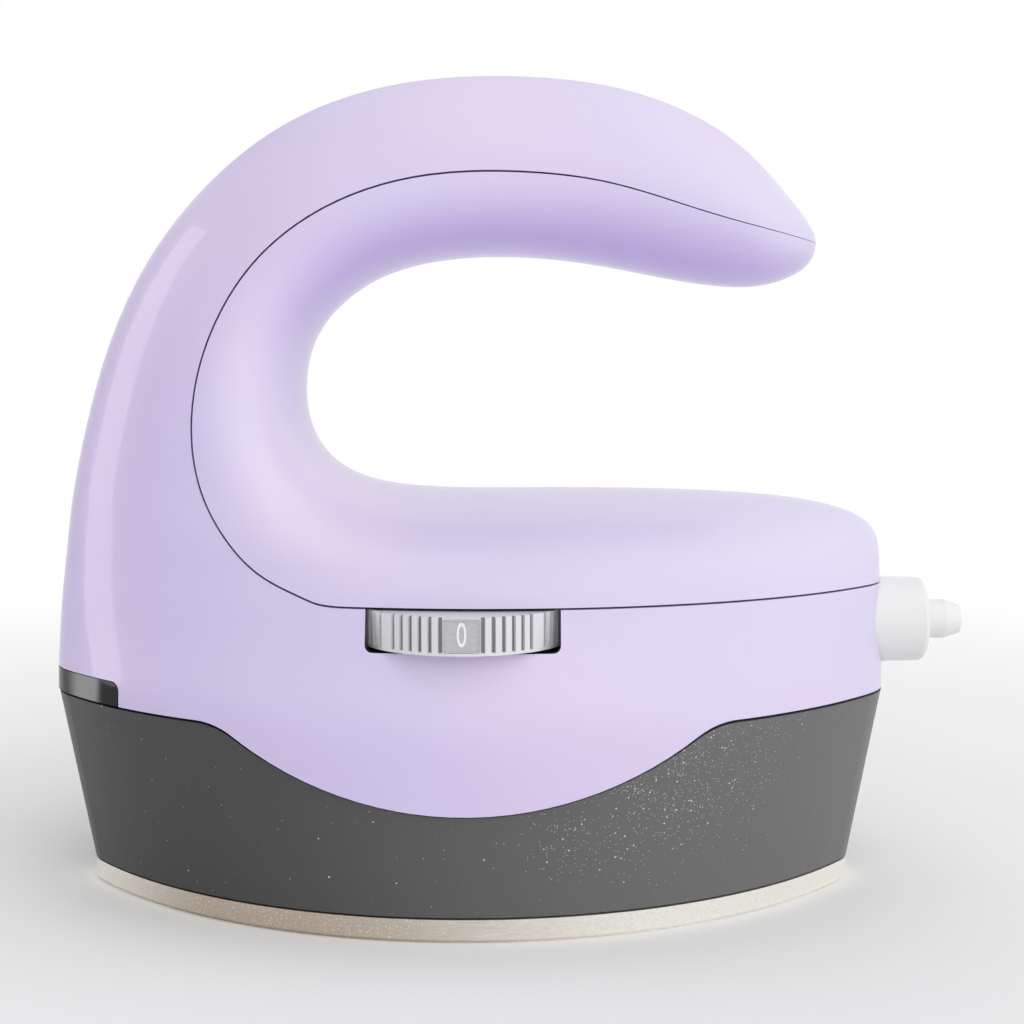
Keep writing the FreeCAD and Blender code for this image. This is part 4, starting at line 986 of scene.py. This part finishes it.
@dataclass
class DialMarks:
    """The dial's plaques, each with a plain numeral.

    A plaque is a raised rim around a sunk field, and starts a little under the wheel's flat. The
    font's size is size_per_height times the height of its figures.
    """

    numerals: Sequence[str] = ("0", "1", "2", "3")
    flat_width: float = 4.6 * MM
    rim_height: float = 0.35 * MM
    rim_gap: float = 0.05 * MM
    plaque_width: float = 4.5 * MM
    plaque_height: float = 4.0 * MM
    plaque_thickness: float = 0.2 * MM
    plaque_root: float = 0.1 * MM
    field_height: float = 0.05 * MM
    corner: float = 0.2 * MM
    rim: float = 0.16 * MM
    edge_break: float = 0.05 * MM
    numeral_height: float = 3.0 * MM
    numeral_squeeze: float = 0.62
    numeral_lift: float = 0.08 * MM
    numeral_relief: float = 0.09 * MM
    numeral_edge: float = 0.02 * MM
    size_per_height: float = 1.38

    def build(self) -> list[bpy.types.Object]:
        """Make the plaques and the numerals and let them ride on the dial.

        Returns:
            The pieces.
        """
        low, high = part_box("dial_wheel")
        centre = (low + high) / 2
        centre.z = low.z + self.rim_height + self.plaque_height / 2 + self.rim_gap
        radius = (high.x - low.x) / 2
        distance = math.sqrt(radius**2 - (self.flat_width / 2) ** 2)
        pieces = []
        for index, numeral in enumerate(self.numerals):
            turn = index * 2 * math.pi / len(self.numerals)
            place = self._place(turn, centre, distance)
            pieces.append(self._plaque(index, place))
            pieces.append(self._numeral(index, numeral, place))
        for piece in pieces:
            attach(piece, "dial")
        return pieces

    def _place(self, turn: float, centre: Vector, distance: float) -> Matrix:
        """Return the frame of a plaque: X along its width, Y up, Z outwards.

        Args:
            turn: The plaque's angle about the dial's axis.
            centre: The middle of the plaques' ring.
            distance: How far a plaque's flat lies from the axis.

        Returns:
            The frame.
        """
        outward = Vector((-math.sin(turn), -math.cos(turn), 0.0))
        across = Vector((math.cos(turn), -math.sin(turn), 0.0))
        rows = [across, Vector((0.0, 0.0, 1.0)), outward]
        turned = Matrix(rows).transposed().to_4x4()
        return Matrix.Translation(centre + outward * distance) @ turned

    def _plaque(self, index: int, place: Matrix) -> bpy.types.Object:
        """Make the raised rim of a plaque, with its sunk field.

        Args:
            index: The plaque's number.
            place: The plaque's frame.

        Returns:
            The piece.
        """
        mesh = bpy.data.meshes.new(f"plaque_{index}")
        work = bmesh.new()
        outer = rounded_rectangle(self.plaque_width, self.plaque_height, self.corner)
        inner_width = self.plaque_width - 2 * self.rim
        inner_height = self.plaque_height - 2 * self.rim
        inner = rounded_rectangle(inner_width, inner_height, self.corner - self.rim)
        levels = (
            (outer, -self.plaque_root),
            (outer, self.plaque_thickness),
            (inner, self.plaque_thickness),
            (inner, self.field_height),
        )
        rings = [[work.verts.new((x, y, z)) for x, y in ring] for ring, z in levels]
        for near, far in zip(rings, rings[1:]):
            for step in range(len(near)):
                after = (step + 1) % len(near)
                work.faces.new((near[step], near[after], far[after], far[step]))
        work.faces.new(rings[-1])
        bmesh.ops.recalc_face_normals(work, faces=work.faces)
        work.to_mesh(mesh)
        work.free()
        piece = bpy.data.objects.new(f"dial_plaque_{index}", mesh)
        bpy.context.scene.collection.objects.link(piece)
        piece.matrix_world = place
        mesh.materials.append(Shade.PLAQUE.material())
        bevel = piece.modifiers.new("edge_break", "BEVEL")
        bevel.width = self.edge_break
        bevel.segments = 2
        return piece

    def _numeral(self, index: int, text: str, place: Matrix) -> bpy.types.Object:
        """Make a raised numeral on a plaque.

        Args:
            index: The plaque's number.
            text: The numeral.
            place: The plaque's frame.

        Returns:
            The piece.
        """
        curve = bpy.data.curves.new(f"numeral_{index}", "FONT")
        curve.body = text
        curve.align_x = "CENTER"
        curve.align_y = "CENTER"
        curve.size = self.numeral_height * self.size_per_height
        curve.extrude = self.numeral_relief
        curve.bevel_depth = self.numeral_edge
        curve.bevel_resolution = 1
        curve.materials.append(Shade.NUMERAL.material())
        piece = bpy.data.objects.new(f"dial_numeral_{index}", curve)
        bpy.context.scene.collection.objects.link(piece)
        squeeze = Matrix.Diagonal((self.numeral_squeeze, 1.0, 1.0, 1.0))
        piece.matrix_world = place @ Matrix.Translation((0.0, 0.0, self.numeral_lift)) @ squeeze
        return piece


def rounded_rectangle(width: float, height: float, radius: float, steps: int = 5) -> list[Span]:
    """Return a rectangle's outline with round corners.

    Args:
        width: The full width.
        height: The full height.
        radius: The corner radius.
        steps: Points in each corner, less one.

    Returns:
        The points, in order.
    """
    points = []
    for quarter, (side_x, side_y) in enumerate(((1, 1), (-1, 1), (-1, -1), (1, -1))):
        centre_x = side_x * (width / 2 - radius)
        centre_y = side_y * (height / 2 - radius)
        for step in range(steps + 1):
            angle = math.pi / 2 * (quarter + step / steps)
            points.append((centre_x + radius * math.cos(angle), centre_y + radius * math.sin(angle)))
    return points


# ------------------------------------------------------------------ studio
@dataclass(frozen=True)
class Softbox:
    """A rectangular lamp: one that only lights, or one that gloss mirrors and that lights nothing."""

    name: str
    place: Rgb
    aim: Rgb
    width: float
    height: float
    power: float
    mirrored: bool = False
    roll_deg: float = 0.0

    def build(self) -> bpy.types.Object:
        """Make the lamp.

        Returns:
            The lamp.
        """
        data = bpy.data.lights.new(self.name, "AREA")
        data.shape = "RECTANGLE"
        data.size = self.width
        data.size_y = self.height
        data.energy = self.power
        lamp = bpy.data.objects.new(self.name, data)
        lamp.visible_camera = False
        lamp.visible_glossy = self.mirrored
        lamp.visible_diffuse = not self.mirrored
        lamp.location = self.place
        direction = Vector(self.aim) - Vector(self.place)
        roll = Quaternion((0.0, 0.0, 1.0), math.radians(self.roll_deg))
        lamp.rotation_euler = (direction.to_track_quat("-Z", "Y") @ roll).to_euler()
        bpy.context.scene.collection.objects.link(lamp)
        return lamp


@dataclass
class Studio:
    """The floor, the surround, the lamps and the camera.

    The surround lights the object from two soft patches, the brighter at the front right and the
    other behind, over a dim level all round.
    """

    aim: Vector = field(default_factory=lambda: Vector((5.72, 0.0, 50.98)) * MM)
    distance: float = 223.8 * MM
    elevation_deg: float = 5.0
    azimuth_deg: float = 0.0
    focal_px: float = 1615.6
    image_px: int = 1024
    sensor_mm: float = 36.0
    nearest: float = 0.01
    floor_size: float = 6.0
    floor_dark: Rgb = srgb(240, 240, 240)
    floor_light: Rgb = srgb(246, 246, 246)
    floor_roughness: float = 0.9
    floor_per_mm: float = 0.01
    shadow_span: Span = (0.10, 0.30)
    bright_side: Rgb = (0.58, -0.76, 0.30)
    bright_strength: float = 1.75
    back_side: Rgb = (-0.35, 0.85, 0.35)
    back_strength: float = 0.75
    dim_strength: float = 0.34
    patch_span: Span = (0.3, 0.97)
    softboxes: Sequence[Softbox] = (
        Softbox(
            "strip_left",
            place=(-0.30, 0.022, 0.155),
            aim=(0.0, 0.022, 0.155),
            width=0.054,
            height=0.262,
            power=0.125,
            mirrored=True,
            roll_deg=5.0,
        ),
        Softbox(
            "top_soft",
            place=(0.0, -0.10, 0.90),
            aim=(0.0, 0.0, 0.05),
            width=1.0,
            height=0.8,
            power=1.8,
        ),
    )

    def build(self) -> list[bpy.types.ID]:
        """Make the studio.

        Returns:
            The floor, the surround, the lamps and the camera.
        """
        bpy.context.scene.view_settings.view_transform = "Standard"
        lamps = [softbox.build() for softbox in self.softboxes]
        return [self._floor(), self._surround(), *lamps, self._camera()]

    def _floor(self) -> bpy.types.Object:
        """Make a pale floor that keeps the object's shadow and runs out into plain white.

        Returns:
            The floor.
        """
        half = self.floor_size / 2
        mesh = bpy.data.meshes.new("floor")
        corners = [(-half, -half, 0.0), (half, -half, 0.0), (half, half, 0.0), (-half, half, 0.0)]
        mesh.from_pydata(corners, [], [(0, 1, 2, 3)])
        floor = bpy.data.objects.new("floor", mesh)
        bpy.context.scene.collection.objects.link(floor)
        graph = Graph.of_material("floor_pale")
        grain = graph.noise(self.floor_per_mm)
        paper_inputs = {
            "Base Color": graph.mix(grain, opaque(self.floor_dark), opaque(self.floor_light)),
            "Roughness": self.floor_roughness,
            "Specular IOR Level": 0.0,
        }
        paper = graph.node("ShaderNodeBsdfPrincipled", None, paper_inputs)
        white = graph.node("ShaderNodeEmission", None, {"Color": WHITE_LIGHT, "Strength": 1.0})
        length = {"operation": "LENGTH"}
        distance = graph.node("ShaderNodeVectorMath", length, {0: graph.position()}, "Value")
        away = distance.clamp(*self.shadow_span)
        graph.close(graph.node("ShaderNodeMixShader", None, {0: away * graph.seen(), 1: paper, 2: white}))
        mesh.materials.append(graph.owner)
        return floor

    def _surround(self) -> bpy.types.World:
        """Make the surround, which is plain white where it is seen or mirrored.

        Returns:
            The surround.
        """
        graph = Graph(bpy.data.worlds.new("surround"))
        key = self._patch(graph, self.bright_side) * (self.bright_strength - self.dim_strength)
        fill = self._patch(graph, self.back_side) * (self.back_strength - self.dim_strength)
        glow = key + fill + self.dim_strength
        seen = graph.seen()
        inputs = {"Color": WHITE_LIGHT, "Strength": seen + glow * (1.0 - seen)}
        graph.close(graph.node("ShaderNodeBackground", None, inputs))
        bpy.context.scene.world = graph.owner
        return graph.owner

    def _patch(self, graph: Graph, side: Rgb) -> Socket:
        """Return a soft round patch of the surround.

        Args:
            graph: The world's graph.
            side: Where the patch's middle lies.

        Returns:
            1 in the middle and 0 outside.
        """
        outwards = graph.node("ShaderNodeTexCoord", output="Generated")
        return graph.toward(outwards, side).clamp(*self.patch_span, smooth=True)

    def _camera(self) -> bpy.types.Object:
        """Place the camera on its sphere round the aim.

        Returns:
            The camera.
        """
        data = bpy.data.cameras.new("camera")
        data.sensor_width = self.sensor_mm
        data.lens = self.focal_px * self.sensor_mm / self.image_px
        data.clip_start = self.nearest
        camera = bpy.data.objects.new("camera", data)
        elevation = math.radians(self.elevation_deg)
        azimuth = math.radians(self.azimuth_deg)
        level = Vector((math.sin(azimuth), -math.cos(azimuth), 0.0))
        outward = level * math.cos(elevation) + Vector((0.0, 0.0, math.sin(elevation)))
        camera.location = self.aim + outward * self.distance
        camera.rotation_euler = (-outward).to_track_quat("-Z", "Y").to_euler()
        bpy.context.scene.collection.objects.link(camera)
        bpy.context.scene.camera = camera
        return camera


def main() -> None:
    """Build the dressed model and its studio, and report each piece."""
    logging.basicConfig(level=logging.INFO, format="%(name)s: %(message)s")
    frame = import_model()
    for assembly in (Frame(frame["nodes"]), DialMarks(), Studio()):
        for piece in assembly.build():
            LOG.info("%s: %s", type(assembly).__name__, piece.name)


if __name__ == "__main__":
    main()
